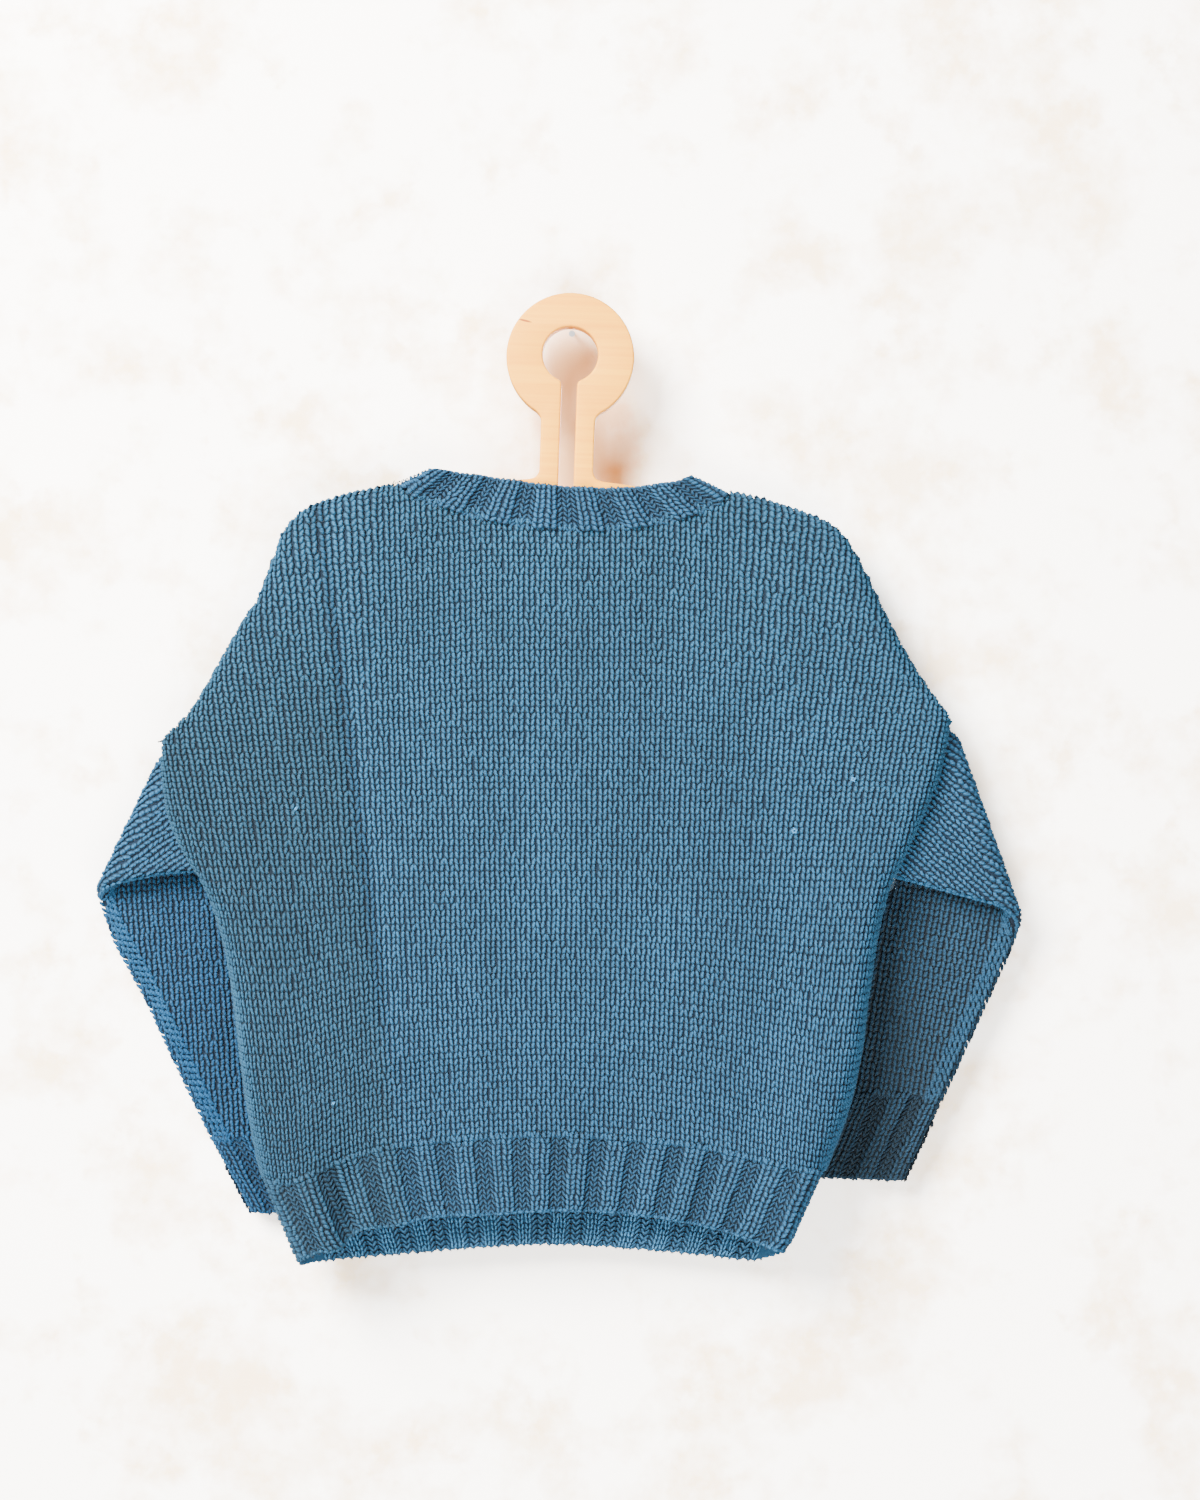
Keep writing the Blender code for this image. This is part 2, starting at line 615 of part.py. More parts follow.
def sleeve_rings(fold, edges, places=None):
    """Outer and inner points of a sleeve, one ring for each pair of underarm and overarm edge points.

    Where places are given, as shares of its width, the sleeve is ribbed there on its outside.
    """
    outer, inner = [], []
    for low, high in edges:
        width = np.linalg.norm(high - low)
        way = (high - low) / width
        for half, inset, store in ((SLEEVE_HALF, 0.0, outer), (SLEEVE_HOLLOW, WALL, inner)):
            if places is None:
                across, layer = flat_loop(width, half, inset)
            else:
                across, layer = ribbed_loop(width, half, inset, places, store is outer)
            points = low + across[:, None] * way
            store.append(fold.place(points[:, 0], points[:, 1], layer))
    return np.array(outer), np.array(inner)


def ribbed_loop(width, half, inset, places, raise_ribs):
    """The same section at given places, with rib columns raised on both faces if asked."""
    start, end = inset + half, width - inset - half
    raised = rib_height(places * width, width / CUFF_REPEATS) if raise_ribs else np.zeros(len(places))
    angles = np.linspace(-pi / 2, pi / 2, ROUND_POINTS)
    across = start + (end - start) * places
    layer = -half - raised
    cap_across, cap_layer = end + half * np.cos(angles[1:-1]), half * np.sin(angles[1:-1])
    across = np.concatenate((across, cap_across, across[::-1], start - half * np.cos(angles[1:-1])))
    layer = np.concatenate((layer, cap_layer, -layer[::-1], -half * np.sin(angles[1:-1])))
    return across, layer


def edge_reader(points):
    """Reads a sleeve's edge, given as unfolded points: its place along the fold, by the place across."""
    line = np.array(points)
    return lambda across: np.array((np.interp(across, line[:, 1], line[:, 0]), across))


def ring_places(under_span, over_span):
    """Where each ring meets the two edges, across the fold: parallel to the fold while it turns."""
    turn = pi * FOLD_RADIUS
    shares = [np.linspace(0, 1, count + 1) for count in SLEEVE_ROWS]
    low = np.concatenate((under_span[0] * (1 - shares[0]), turn * shares[1][1:],
                          turn + (under_span[1] - turn) * shares[2][1:]))
    high = np.concatenate((over_span[0] * (1 - shares[0]), turn * shares[1][1:],
                           turn + (over_span[1] - turn) * shares[2][1:]))
    return list(zip(low, high))


def sleeve(name, side, line, upper_under, forearm, overarm_end, cuff_outer, cuff_inner):
    """A sleeve and its cuff, folded behind the body."""
    fold = Fold(line, side)
    start = fold.upper(line[0]) + np.array(ELBOW_START)
    under_points = [fold.upper(p) for p in upper_under] + [fold.lower(p) for p in forearm]
    over_points = [start, fold.lower(overarm_end)]
    under, over = edge_reader(under_points), edge_reader(over_points)
    rings = ring_places((under_points[0][1], under_points[-1][1]), (start[1], over_points[-1][1]))
    edges = [(under(low), over(high)) for low, high in rings]
    outer, inner = sleeve_rings(fold, edges)
    wall_mesh("sleeve_" + name, outer, inner, True, WOOL)
    cuff_edges = []
    for share in CUFF_LEVELS:
        cuff_edges.append((under_points[-1] + (fold.lower(cuff_outer) - under_points[-1]) * share,
                           over_points[-1] + (fold.lower(cuff_inner) - over_points[-1]) * share))
    places = np.array([(repeat + phase) / CUFF_REPEATS for repeat in range(CUFF_REPEATS)
                       for phase in RIDGE_STATIONS])
    outer, inner = sleeve_rings(fold, cuff_edges, places)
    wall_mesh("cuff_" + name, outer, inner, True, RIB_WOOL)


# Hanger


def arc(centre, radius, start, end, count):
    """Points of an arc, its angles in degrees."""
    return [(centre[0] + radius * cos(radians(a)), centre[1] + radius * sin(radians(a)))
            for a in np.linspace(start, end, count)]


def flat_outline(curve, points):
    """Add one closed outline of x, z points in millimetres to a flat curve."""
    spline = curve.splines.new("POLY")
    spline.points.add(len(points) - 1)
    for target, (x, z) in zip(spline.points, points):
        target.co = (x * MM, z * MM, 0, 1)
    spline.use_cyclic_u = True
    return spline


def mirrored(points):
    """The same outline carried on up the other side."""
    return points + [(-x, z) for x, z in points[::-1] if x > 0.01]


def hanger():
    """A plywood outline: ring, slotted stem and two sloping arms, cut in one piece."""
    half_stem = STEM_WIDTH / 2
    joint = np.degrees(np.arcsin((half_stem + RING_NECK_REACH) / RING_OUTER))
    right = arc(RING_CENTRE, RING_OUTER, 90, -90 + joint, 16)
    right += [(half_stem + x, RING_CENTRE[1] + z) for x, z in RING_FILLET]
    right += [(half_stem + x, z) for x, z in STEM_FILLET]
    right += [ARM_START, *ARM_TOP]
    right += arc((ARM_REACH - ARM_TIP_RADIUS, ARM_END - ARM_TIP_DROP), ARM_TIP_RADIUS, 60, -90, 5)
    right += ARM_UNDERSIDE
    curve = bpy.data.curves.new("hanger", "CURVE")
    curve.dimensions = "2D"
    curve.fill_mode = "BOTH"
    curve.extrude = (PLY / 2 - PLY_ROUNDING) * MM
    curve.bevel_depth = PLY_ROUNDING * MM
    curve.bevel_resolution = 1
    curve.offset = -PLY_ROUNDING * MM
    flat_outline(curve, mirrored(right))
    half_slot = SLOT_WIDTH / 2
    mouth = np.degrees(np.arcsin((half_slot + MOUTH_REACH) / RING_HOLE))
    hole = arc(HOLE_CENTRE, RING_HOLE, 90, -90 + mouth, 11)
    hole += [(half_slot + x, HOLE_CENTRE[1] + z) for x, z in MOUTH_FILLET]
    hole += arc((0, SLOT_END), half_slot, 0, -90, 5)
    flat_outline(curve, mirrored(hole))
    curve.materials.append(BIRCH)
    thing = bpy.data.objects.new("hanger", curve)
    thing.rotation_euler = (pi / 2, HANGER_TILT, 0)
    GARMENT.objects.link(thing)
    weld = thing.modifiers.new("weld", "WELD")
    weld.merge_threshold = 0.00001
    return thing


for leftover in list(bpy.data.objects):
    bpy.data.objects.remove(leftover)
GARMENT = bpy.data.collections.new("sweater_on_a_hanger")
bpy.context.scene.collection.children.link(GARMENT)
WOOL = material("teal_wool", (0.07, 0.20, 0.32), 0.95)
RIB_WOOL = material("teal_wool_rib", (0.06, 0.18, 0.29), 0.95)
BIRCH = material("birch_plywood", (0.85, 0.66, 0.42), 0.55)

panel("back_panel", False, WOOL)
panel("front_panel", True, WOOL)
welt("back_hem_rib", BACK_HEM, False, RIB_WOOL)
welt("front_hem_rib", FRONT_HEM, True, RIB_WOOL)
neckband(RIB_WOOL)
sleeve("left", -1, LEFT_FOLD, LEFT_UNDERARM, LEFT_FOREARM, LEFT_OVERARM_END, *LEFT_CUFF)
sleeve("right", 1, RIGHT_FOLD, RIGHT_UNDERARM, RIGHT_FOREARM, RIGHT_OVERARM_END, *RIGHT_CUFF)
hanger()
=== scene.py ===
"""A child's knitted wool sweater on a plywood hanger: the look of each piece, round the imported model.

Sizes in the tables are millimetres and MM turns them into metres. X is to the right of a viewer who
faces the sweater's back, Y goes from that viewer to the wall, and Z is up.
"""

from math import cos, pi, radians, sin

import bmesh
import bpy
import numpy as np
from mathutils import Matrix, Vector


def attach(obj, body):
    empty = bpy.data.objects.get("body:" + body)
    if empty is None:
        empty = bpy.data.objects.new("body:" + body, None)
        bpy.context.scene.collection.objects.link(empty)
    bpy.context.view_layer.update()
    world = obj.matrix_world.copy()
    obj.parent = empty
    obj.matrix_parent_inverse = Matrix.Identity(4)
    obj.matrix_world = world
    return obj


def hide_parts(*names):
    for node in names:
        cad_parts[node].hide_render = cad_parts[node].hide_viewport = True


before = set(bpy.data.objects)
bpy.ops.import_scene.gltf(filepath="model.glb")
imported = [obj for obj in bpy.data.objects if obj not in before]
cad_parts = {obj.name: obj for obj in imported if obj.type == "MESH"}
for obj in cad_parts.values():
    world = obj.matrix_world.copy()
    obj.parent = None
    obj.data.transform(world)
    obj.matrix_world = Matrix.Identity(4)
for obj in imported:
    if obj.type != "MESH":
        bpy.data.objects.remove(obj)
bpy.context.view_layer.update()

bl_info = {
    "name": "Knitted Sweater on a Hanger",
    "version": (1, 0, 0),
    "blender": (4, 5, 0),
    "location": "View3D > Sidebar > Sweater",
    "description": "Knits a pullover stitch by stitch over its shape, and cuts the hanger that holds it",
    "category": "Add Mesh",
}

MM = 0.001
BODY = "root"

# Cloth
WALL = 2.5
SEAM_GAP = 0.35             # between a panel and its welt
MIDDLE_GAP = 0.2            # how far each panel keeps to its own side of the middle
INSIDE_KEEP = 0.8           # the same for the inside of the front welt
SHELL_DROP = 0.75           # how far the plain ground lies under the stitches' tops
SHELL_THICKNESS = 1.1
# the bare inside and edges take this share of painted light, so less of the painted deep shade
EDGE_PAINTED_LIGHT = 0.55            # how pale the bare inside and edges are, between deep shade and yarn
RIB_RELIEF = 1.2
NECK_LIFT = 0.8             # how much farther out the neckband's ground lies, over the panels' stitches
RIB_VALLEY = 0.7            # how much deeper the purl wales lie than the plain cloth
TURN_RADIUS = 11.0
SHOULDER_RADIUS = 6.0

# Sleeves
SLEEVE_HALF = 3.5
FOLD_RADIUS = 6.2
CUFF_SET_BACK = 5.5
SLEEVE_START = (1.5, -2.0)  # where the overarm edge starts from the fold's top: along it, across it
CUFF_START = 0.012          # a cuff's gap to its sleeve, as a share of the cuff
ARMHOLE_GAP = 3.8

# Hanger
PLY = 10.0
HANGER_TILT = radians(2.0)
RING_OUTER = 30.6
RING_CENTRE = (0.0, -14.5)
RING_HOLE = 13.3
HOLE_CENTRE = (0.0, -13.3)
STEM_WIDTH = 25.8
SLOT_WIDTH = 7.4
SLOT_END = -88.0
PLY_ROUNDING = 1.0
RING_NECK_REACH = 2.5
RING_FILLET = ((1.4, -27.6), (0.6, -28.7), (0.1, -30.4), (0.0, -32.0))
STEM_FILLET = ((0.0, -69.0), (0.3, -70.4), (0.9, -71.6), (1.7, -72.5), (2.9, -73.1), (4.5, -73.5),
               (6.5, -73.8))
ARM_START = (31, -75.0)
ARM_TOP = ((50, -78.3), (75, -84), (94, -88), (108, -92), (114, -94.5))
ARM_REACH = 121.0
ARM_END = -94.5
ARM_TIP_RADIUS = 5.0
ARM_TIP_DROP = 7.0
MOUTH_REACH = 1.6
MOUTH_FILLET = ((0.9, -12.7), (0.4, -13.3), (0.0, -14.8))
ARM_UNDERSIDE = ((100, -108), (60, -103), (25, -102), (0, -102))

# Side folds of the body: height, left edge, right edge
BODY_EDGE = (
    (-186, -195.5, 182.0), (-200, -196.0, 179.0), (-220, -195.0, 174.0), (-236, -192.0, 167.0),
    (-252, -185.0, 160.0), (-266, -176.5, 153.0), (-290, -168.0, 147.0), (-320, -162.0, 142.5),
    (-350, -158.5, 138.5), (-380, -154.0, 131.0), (-405, -148.5, 121.0), (-425, -141.0, 112.0),
    (-450, -130.5, 101.0),
)

# Shoulder line, x and z, from corner to corner with the neck between
LEFT_SHOULDER = (
    (-195.5, -198), (-179, -179), (-168, -159), (-157, -140), (-146, -121), (-142.5, -108),
    (-134.5, -93), (-125, -86), (-111, -81), (-94, -77), (-82, -74.5),
)
RIGHT_SHOULDER = (
    (74, -78.5), (87, -81), (101, -85), (112, -89), (121, -92.5), (129, -98),
    (137.5, -111), (147, -130.5), (157, -150), (168, -169), (181, -187),
)
LEFT_NECK_POINT = (-67.5, -68.5)
RIGHT_NECK_POINT = (58.0, -71.5)
BACK_NECK_LOW = ((-82, -74.5), (-74, -80.5), (-56, -86.5), (-35, -92), (-3.5, -95.5), (17, -96), (46, -92),
                 (60, -88), (69, -84), (74, -78.5))
BACK_NECK_TOP = ((-67.5, -68.5), (-56, -70.2), (-43.5, -72), (-29, -74), (-11.5, -76.4), (10, -77.8),
                 (27, -77.8), (41, -76), (52, -74), (58, -71.5))
FRONT_NECK_LOW = ((-82, -74.5), (-76, -90), (-62, -108), (-40, -122), (-4, -129), (32, -123), (55, -110),
                  (68, -94), (74, -78.5))
FRONT_NECK_TOP = ((-67.5, -68.5), (-60, -82), (-48, -95), (-30, -105), (-4, -110), (22, -106), (41, -97),
                  (53, -85), (58, -71.5))

# Welts, across the body: x and z
BACK_RIB_TOP = ((-147.5, -408), (-133, -408), (-116, -401), (-97, -394.5), (-60, -389), (-10, -386),
                (24, -388), (58, -391.5), (85, -397), (121, -405))
BACK_HEM = ((-131, -446), (-118.5, -438.5), (-109, -437.5), (-102, -431), (-84, -427.5), (-69, -424),
            (-40, -422), (-5, -420), (24, -421.5), (55, -426), (82, -433), (103, -441))
FRONT_RIB_TOP = ((-147.5, -411), (-110, -412), (-60, -409), (-5, -406), (60, -410), (90, -410), (121, -406))
FRONT_HEM = ((-131, -450), (-111, -447.5), (-82, -445), (-52, -442.5), (-5, -440.5), (34, -443),
             (64, -445.5), (94, -447), (103, -444))

# Depth of the body: height, back panel, front panel
BODY_DEPTH = ((-60, 8.0, 8.0), (-105, 8.0, 8.0), (-150, 10.0, 8.0), (-250, 13.5, 8.0), (-350, 17.0, 8.0),
              (-450, 19.0, 8.0))

# Soft ridges and troughs: x and z of each end, width, height (a trough is negative)
BACK_FOLDS = (
    (-116, -126, -88, -330, 6, -2.8),
    (-132, -365, -118, -440, 15, 7.5),
    (-106, -390, -104, -440, 6, -3.5),
    (118, -330, 100, -440, 14, 2.5),
    (60, -300, 66, -440, 20, -1.5),
    (-30, -250, -20, -440, 26, 1.5),
    (-66, -330, -62, -440, 14, -1.6),
    (20, -330, 26, -440, 14, -1.3),
    (-150, -215, -120, -300, 9, -1.0),
    (140, -190, 112, -262, 10, -1.1),
    (-60, -100, -84, -128, 7, -0.8),
    (56, -98, 84, -124, 7, -0.9),
)
FRONT_FOLDS = (
    (-120, -150, -96, -300, 14, -1.2),
    (104, -160, 84, -330, 15, -1.1),
    (-34, -150, -22, -300, 22, -0.7),
    (28, -170, 40, -380, 18, -0.9),
)
SLEEVE_FOLDS = (
    (24, -30, 58, -8, 6, -0.9),
    (40, 48, 118, 52, 8, -0.8),
    (70, 74, 140, 84, 7, -0.7),
    (110, 96, 150, 112, 6, -0.6),
)

# Where the front panel stops short of the side fold: height, distance
LEFT_TRIM = ((-262, 0.0), (-232, 1.5), (-215, 6.0), (-200, 12.0))
RIGHT_TRIM = ((-225, 0.0), (-210, 3.0), (-187, 12.0))
LEFT_FRONT_CORNER = (-182.0, -203.0)
RIGHT_FRONT_CORNER = (167.0, -191.0)

# Heights between which each side's panels part to let the sleeve out: from, full, full, to
LEFT_ARMHOLE = (-284, -268, -196, -172)
RIGHT_ARMHOLE = (-286, -272, -182, -160)

# Each sleeve: elbow fold, underarm edge above it, forearm's outer edge, end of its inner edge, cuff edge
SLEEVES = {
    "left": (-1, ((-185.7, -201.0), (-217.0, -266.0)), ((-173, -260.5), (-195, -261.5), (-217, -266)),
             ((-221.5, -295), (-206, -324), (-188.5, -362.5), (-174.5, -392)), (-107, -392),
             ((-156, -427), (-90, -427))),
    "right": (1, ((172.5, -186.0), (205.0, -277.0)), ((150.5, -262), (178, -269.5), (205, -277)),
              ((210.5, -304), (197, -333.5), (184, -362.5), (180, -371)), (112, -371),
              ((161.5, -411), (97, -409))),
}
HEM_RIB_PITCH = 16.0
NECK_RIB_PITCH = 20.0
CUFF_REPEATS = 4
RIB_WALES = 4               # two knit, two purl

# The knitting's grid: height, width of a wale
WALE_WIDTH = ((-60, 5.2), (-180, 5.0), (-270, 4.8), (-400, 4.5), (-460, 4.4))
COURSE = 3.0
SLEEVE_WALE_WAY = (0.87, 0.493)
KNIT_CENTRE = 7.0           # how far left of the hanger's middle the middle wale runs
SIDE_LEAN = 0.12            # how far the outermost wales lean with the body's sides
LEAN_FROM = 85.0            # how far from the middle wale the lean begins
LEAN_REACH = 100.0
LEAN_LEVEL = -270.0         # the height that the leaning wales turn about
SETTLE = 150.0              # height over which the courses stop following the welt's seam
DROOP = 0.10                # how far the courses fall towards the shoulders' ends
DROOP_FROM = 40.0
SLEEVE_WALE = 4.9
WELT_COURSES = 14
NECK_COURSES = 8
CUFF_COURSES = 15
KNIT_SHARE = 0.58           # how much of a rib's repeat its two knit wales take

# How finely the cloth is drawn
SIDE_POINTS = 160
TURN_STEPS = (0.0, 0.3, 1.0, 2.0, 3.4, 5.2, 7.5, 10.0, 13.0)
PANEL_COLUMNS = 60
PANEL_ROWS = 62
WELT_ROWS = 12
WELT_STATION = 1.1          # about one column to this many millimetres
NECK_ROWS = 9
NECK_STATION = 1.2
SLEEVE_COLUMNS = 26
SLEEVE_RINGS = (8, 16, 34)
SEAM_COLUMNS = (4, 5, 6)    # of a forearm's grid, where its bumpy seam runs
CUFF_COLUMNS = 66
CUFF_ROWS = 12
KNIT_SPAN = 128.0           # wales and courses to one unit of a guide's map
TWISTS = 3.0                # turns of the yarn along one leg
TWIST_LEAN = 0.45
EDGE_UNEVENNESS = 0.12
YARN_SHOULDER = 0.2         # height of a leg's flanks, as a share of its crest
EDGE_BASE = 3               # rows that give the way on from a border
LONGEST_EDGE = 4.6          # a stitch that a sharp border draws out longer is cut there
GUIDE_MARGIN = 8.0          # how far a stitch may reach past the border that its foot is in
FOOT_RISE = 0.12            # how far above its course's line a stitch is set, in courses

# Small balls of loose fibre on the back: x, z, radius
PILLS = ((105.9, -241.0, 0.9), (134.0, -216.5, 0.7), (-130.5, -230.4, 0.3), (-112.3, -369.6, 0.3))
PILL_HEIGHT = 1.1

# Marks, tints and painted shade and light; each tint, shade or light multiplies the colour it lies on
STREAK = (-22.3, 1.9)       # middle of the dark streak by the ring's upper left edge
STREAK_SIZE = (3.4, 0.55)
STREAK_SLANT = -0.7
STREAK_COLOUR = (0.34, 0.08, 0.01)
CREASE = (115.9, 125.8, 0.134)  # the back's long crease: where it starts, left and down, and its slant
RIB_DEPTH = 0.05            # how much darker the ribs' crests are
# painted shade on the forearms, which hang behind, and painted light on the front welt's inside, which lies
# in shade
FOREARM_SHADES = {"left": (0.36, 0.64, 0.76), "right": (0.42, 0.33, 0.31)}
INSIDE_PAINTED_LIGHT = (3.5, 2.5, 2.3)
# painted shade to the left of the back's long crease, a warmer tint towards the top, and a painted dark line
# in the crease
LEFT_OF_CREASE_SHADE = (0.86, 0.76, 0.70)
TOP_TINT = (1.04, 1.02, 0.93)
CREASE_SHADE = (0.45, 0.55, 0.60)
# a forearm's painted shade, or the painted light of the welt's inside, comes in over this depth
TINT_REACH = 8.0            # depth over which a forearm's tint comes in

NAIL = (0.3, -3.6, 1.5, 0.9)    # x, z, radius of its head and of its shaft
NAIL_LEAN = 0.165

# Patches of painted shadow on the wall behind the hanger: x, z, half width, half height, strength
WALL_SHADOW_PATCHES = (
    (-1.5, -36.0, 16.0, 62.0, 0.80),
    (0.0, -16.0, 13.0, 13.0, 0.70),
    (18.0, -48.0, 18.0, 40.0, 0.60),
    (-2.0, -50.0, 42.0, 52.0, 0.30),
)
# the colour of the painted shadow
PAINTED_SHADOW = (0.40, 0.25, 0.13)
BLOTCH = (0.80, 0.68, 0.55)         # the plaster's warm blotches, as a share of its colour
DARK_BLOTCH = (0.93, 0.86, 0.76)    # and their darker middles, as a share of theirs

# Room, camera and light
FLOOR_LEVEL = -1.25         # metres
ROOM_HALF = 3.0
WALL_TOP = 2.0
PIXEL = 0.48                # millimetres of the garment for one pixel of a 1200 x 1500 picture
PICTURE_ROWS = 1500
SENSOR = 24.0
EYE_DISTANCE = 1200.0
PICTURE_CENTRE = (13.7, -202.6)

# Lamps: name, place in metres, size, share of the light's power, colour
LAMPS = (
    ("window", (-1.0, -1.3, 0.8), 1.0, 1.0, (1.0, 0.98, 0.95)),
    ("fill", (0.2, -1.3, -1.1), 1.2, 0.34, (1.0, 0.97, 0.93)),
    ("back_fill", (0.6, 1.5, 0.3), 1.4, 0.4, (1.0, 0.98, 0.96)),
)
SKY_COLOUR = (1.0, 0.985, 0.965, 1.0)
SKY_STRENGTH = 0.55


# Settings


class KnitSettings(bpy.types.PropertyGroup):
    """Sizes and colours of the knitting."""

    yarn_width: bpy.props.FloatProperty(
        name="Yarn Width", description="Width of one leg of a stitch, as a share of a wale",
        default=0.49, min=0.2, max=0.8, subtype="FACTOR")
    yarn_height: bpy.props.FloatProperty(
        name="Yarn Height", description="How far a stitch stands out of the ground",
        default=0.00145, min=0.0002, max=0.004, subtype="DISTANCE", unit="LENGTH")
    unevenness: bpy.props.FloatProperty(
        name="Unevenness", description="How much hand-knit stitches differ from each other",
        default=0.065, min=0.0, max=0.4, subtype="FACTOR")
    yarn_colour: bpy.props.FloatVectorProperty(
        name="Yarn", description="Colour of the wool", default=(0.0112, 0.0675, 0.148), min=0, max=1,
        size=3, subtype="COLOR")
    # painted shade: the deep colour given to the wool between the stitches, where shade would fall
    shade_colour: bpy.props.FloatVectorProperty(
        name="Deep Shade", description="Colour of the wool between the stitches",
        default=(0.002, 0.011, 0.027), min=0, max=1, size=3, subtype="COLOR")
    # painted highlight: the paler colour of loose fibres laid on the stitches' crests
    fibre_highlight_colour: bpy.props.FloatVectorProperty(
        name="Bloom", description="Colour of the fine fibres on the yarn", default=(0.049, 0.187, 0.315),
        min=0, max=1, size=3, subtype="COLOR")


class HangerSettings(bpy.types.PropertyGroup):
    """Colours of the plywood."""

    face_colour: bpy.props.FloatVectorProperty(
        name="Face", description="Colour of the pale face veneer", default=(1.0, 0.43, 0.02), min=0, max=1,
        size=3, subtype="COLOR")
    edge_colour: bpy.props.FloatVectorProperty(
        name="Edge", description="Colour of the darker plies on the edge", default=(0.85, 0.30, 0.03),
        min=0, max=1, size=3, subtype="COLOR")
    grain_spacing: bpy.props.FloatProperty(
        name="Grain Spacing", description="Width of one line of grain", default=0.0022,
        min=0.0005, max=0.02, subtype="DISTANCE", unit="LENGTH")


class StageSettings(bpy.types.PropertyGroup):
    """The plain wall, floor and light."""

    wall_colour: bpy.props.FloatVectorProperty(
        name="Wall", description="Colour of the plaster wall and floor", default=(0.92, 0.89, 0.85), min=0,
        max=1, size=3, subtype="COLOR")
    wall_gain: bpy.props.FloatProperty(
        name="Wall Gain", description="How many times brighter than paper the wall and floor are shown",
        default=1.9, min=0.1, max=20.0)
    wall_gap: bpy.props.FloatProperty(
        name="Wall Gap", description="Distance from the hanger's middle to the wall", default=0.027,
        min=0.024, max=0.2, subtype="DISTANCE", unit="LENGTH")
    light_power: bpy.props.FloatProperty(
        name="Light", description="Power of the large soft light", default=215.0, min=0, unit="POWER")


# Shapes, in millimetres


def smooth_through(points, at):
    """Cubic Hermite curve through rows of (key, value, ...), read at the keys in at."""
    rows = np.array(points, dtype=float)
    if rows[0, 0] > rows[-1, 0]:
        rows = rows[::-1]
    keys = rows[:, 0]
    values = rows[:, 1:]
    slopes = np.gradient(values, keys, axis=0)
    at = np.clip(np.asarray(at, dtype=float), keys[0], keys[-1])
    seat = np.clip(np.searchsorted(keys, at, side="right") - 1, 0, len(keys) - 2)
    span = keys[seat + 1] - keys[seat]
    t = ((at - keys[seat]) / span)[..., None]
    span = span[..., None]
    result = ((2 * t**3 - 3 * t**2 + 1) * values[seat] + (t**3 - 2 * t**2 + t) * span * slopes[seat]
              + (3 * t**2 - 2 * t**3) * values[seat + 1] + (t**3 - t**2) * span * slopes[seat + 1])
    return result[..., 0] if result.shape[-1] == 1 else result


def soft_step(value, low, high):
    """0 below low, 1 above high, and smooth between them."""
    t = np.clip((value - low) / (high - low), 0, 1)
    return t * t * (3 - 2 * t)


def along_curve(points, count_per_mm=2.0):
    """A dense polyline through a row table of x and z."""
    x = np.linspace(points[0][0], points[-1][0], int(abs(points[-1][0] - points[0][0]) * count_per_mm) + 2)
    return np.column_stack((x, smooth_through(points, x)))


def resample(line, fractions):
    """Points of a polyline at fractions of its length."""
    steps = np.linalg.norm(np.diff(line, axis=0), axis=1)
    reach = np.concatenate(([0], np.cumsum(steps)))
    at = np.asarray(fractions) * reach[-1]
    return np.column_stack([np.interp(at, reach, line[:, k]) for k in range(line.shape[1])])


def length_of(line):
    return float(np.linalg.norm(np.diff(line, axis=0), axis=1).sum())


def body_edge(z, side, front=False):
    """X of the body's side fold at height z; the front panel is cut back round the folded sleeve."""
    x = smooth_through(BODY_EDGE, z)[..., 0 if side < 0 else 1]
    if front:
        trims = LEFT_TRIM if side < 0 else RIGHT_TRIM
        x = x - side * np.interp(z, [row[0] for row in trims], [row[1] for row in trims])
    return x


def corner(side, front=False):
    """The armhole's upper corner."""
    if front:
        return np.array(LEFT_FRONT_CORNER if side < 0 else RIGHT_FRONT_CORNER, dtype=float)
    return np.array(LEFT_SHOULDER[0] if side < 0 else RIGHT_SHOULDER[-1], dtype=float)


def shoulder_line(side, front=False):
    """Points of one shoulder line, from the armhole's corner to the neckband."""
    rows = LEFT_SHOULDER if side < 0 else RIGHT_SHOULDER[::-1]
    if front:
        rows = (tuple(corner(side, True)),) + rows[3:]
    return along_curve(rows)


def side_line(side, low, front=False):
    """Points of one side fold, from height low up to the armhole's corner."""
    top = corner(side, front)
    z = np.linspace(low, top[1], SIDE_POINTS)
    x = body_edge(z, side, front)
    x = x + (top[0] - body_edge(np.array([top[1]]), side, front)[0]) * soft_step(z, top[1] - 14, top[1])
    return np.column_stack((x, z))


def fold_lines(front=False):
    """The lines where the cloth turns from back to front, on both sides."""
    lines = []
    for side, neck in ((-1, LEFT_NECK_POINT), (1, RIGHT_NECK_POINT)):
        beyond = np.array(((neck[0], neck[1]), (neck[0] - side * 16, neck[1] + 24)))
        lines.append(np.vstack((side_line(side, -480, front), shoulder_line(side, front), beyond)))
    return lines


def nearest_fold(lines, x, z):
    """Distance of every point to the nearest of some polylines, and the way to it."""
    best = np.full(np.shape(x), 1e9)
    way_x, way_z = np.zeros(np.shape(x)), np.zeros(np.shape(x))
    for line in lines:
        for start, end in zip(line[:-1], line[1:]):
            way = end - start
            size = way @ way
            if size < 1e-9:
                continue
            t = np.clip(((x - start[0]) * way[0] + (z - start[1]) * way[1]) / size, 0, 1)
            to_x, to_z = start[0] + t * way[0] - x, start[1] + t * way[1] - z
            gap = np.hypot(to_x, to_z)
            closer = gap < best
            best = np.where(closer, gap, best)
            way_x, way_z = np.where(closer, to_x, way_x), np.where(closer, to_z, way_z)
    size = np.maximum(best, 1e-6)
    return best, way_x / size, way_z / size


def armhole_stand_off(x, z):
    """How far a panel's edge keeps from the middle, to let the sleeve out between the panels."""
    left, right = [soft_step(z, start, low) * (1 - soft_step(z, high, end))
                   for start, low, high, end in (LEFT_ARMHOLE, RIGHT_ARMHOLE)]
    return MIDDLE_GAP + ARMHOLE_GAP * np.where(x < 0, left, right)


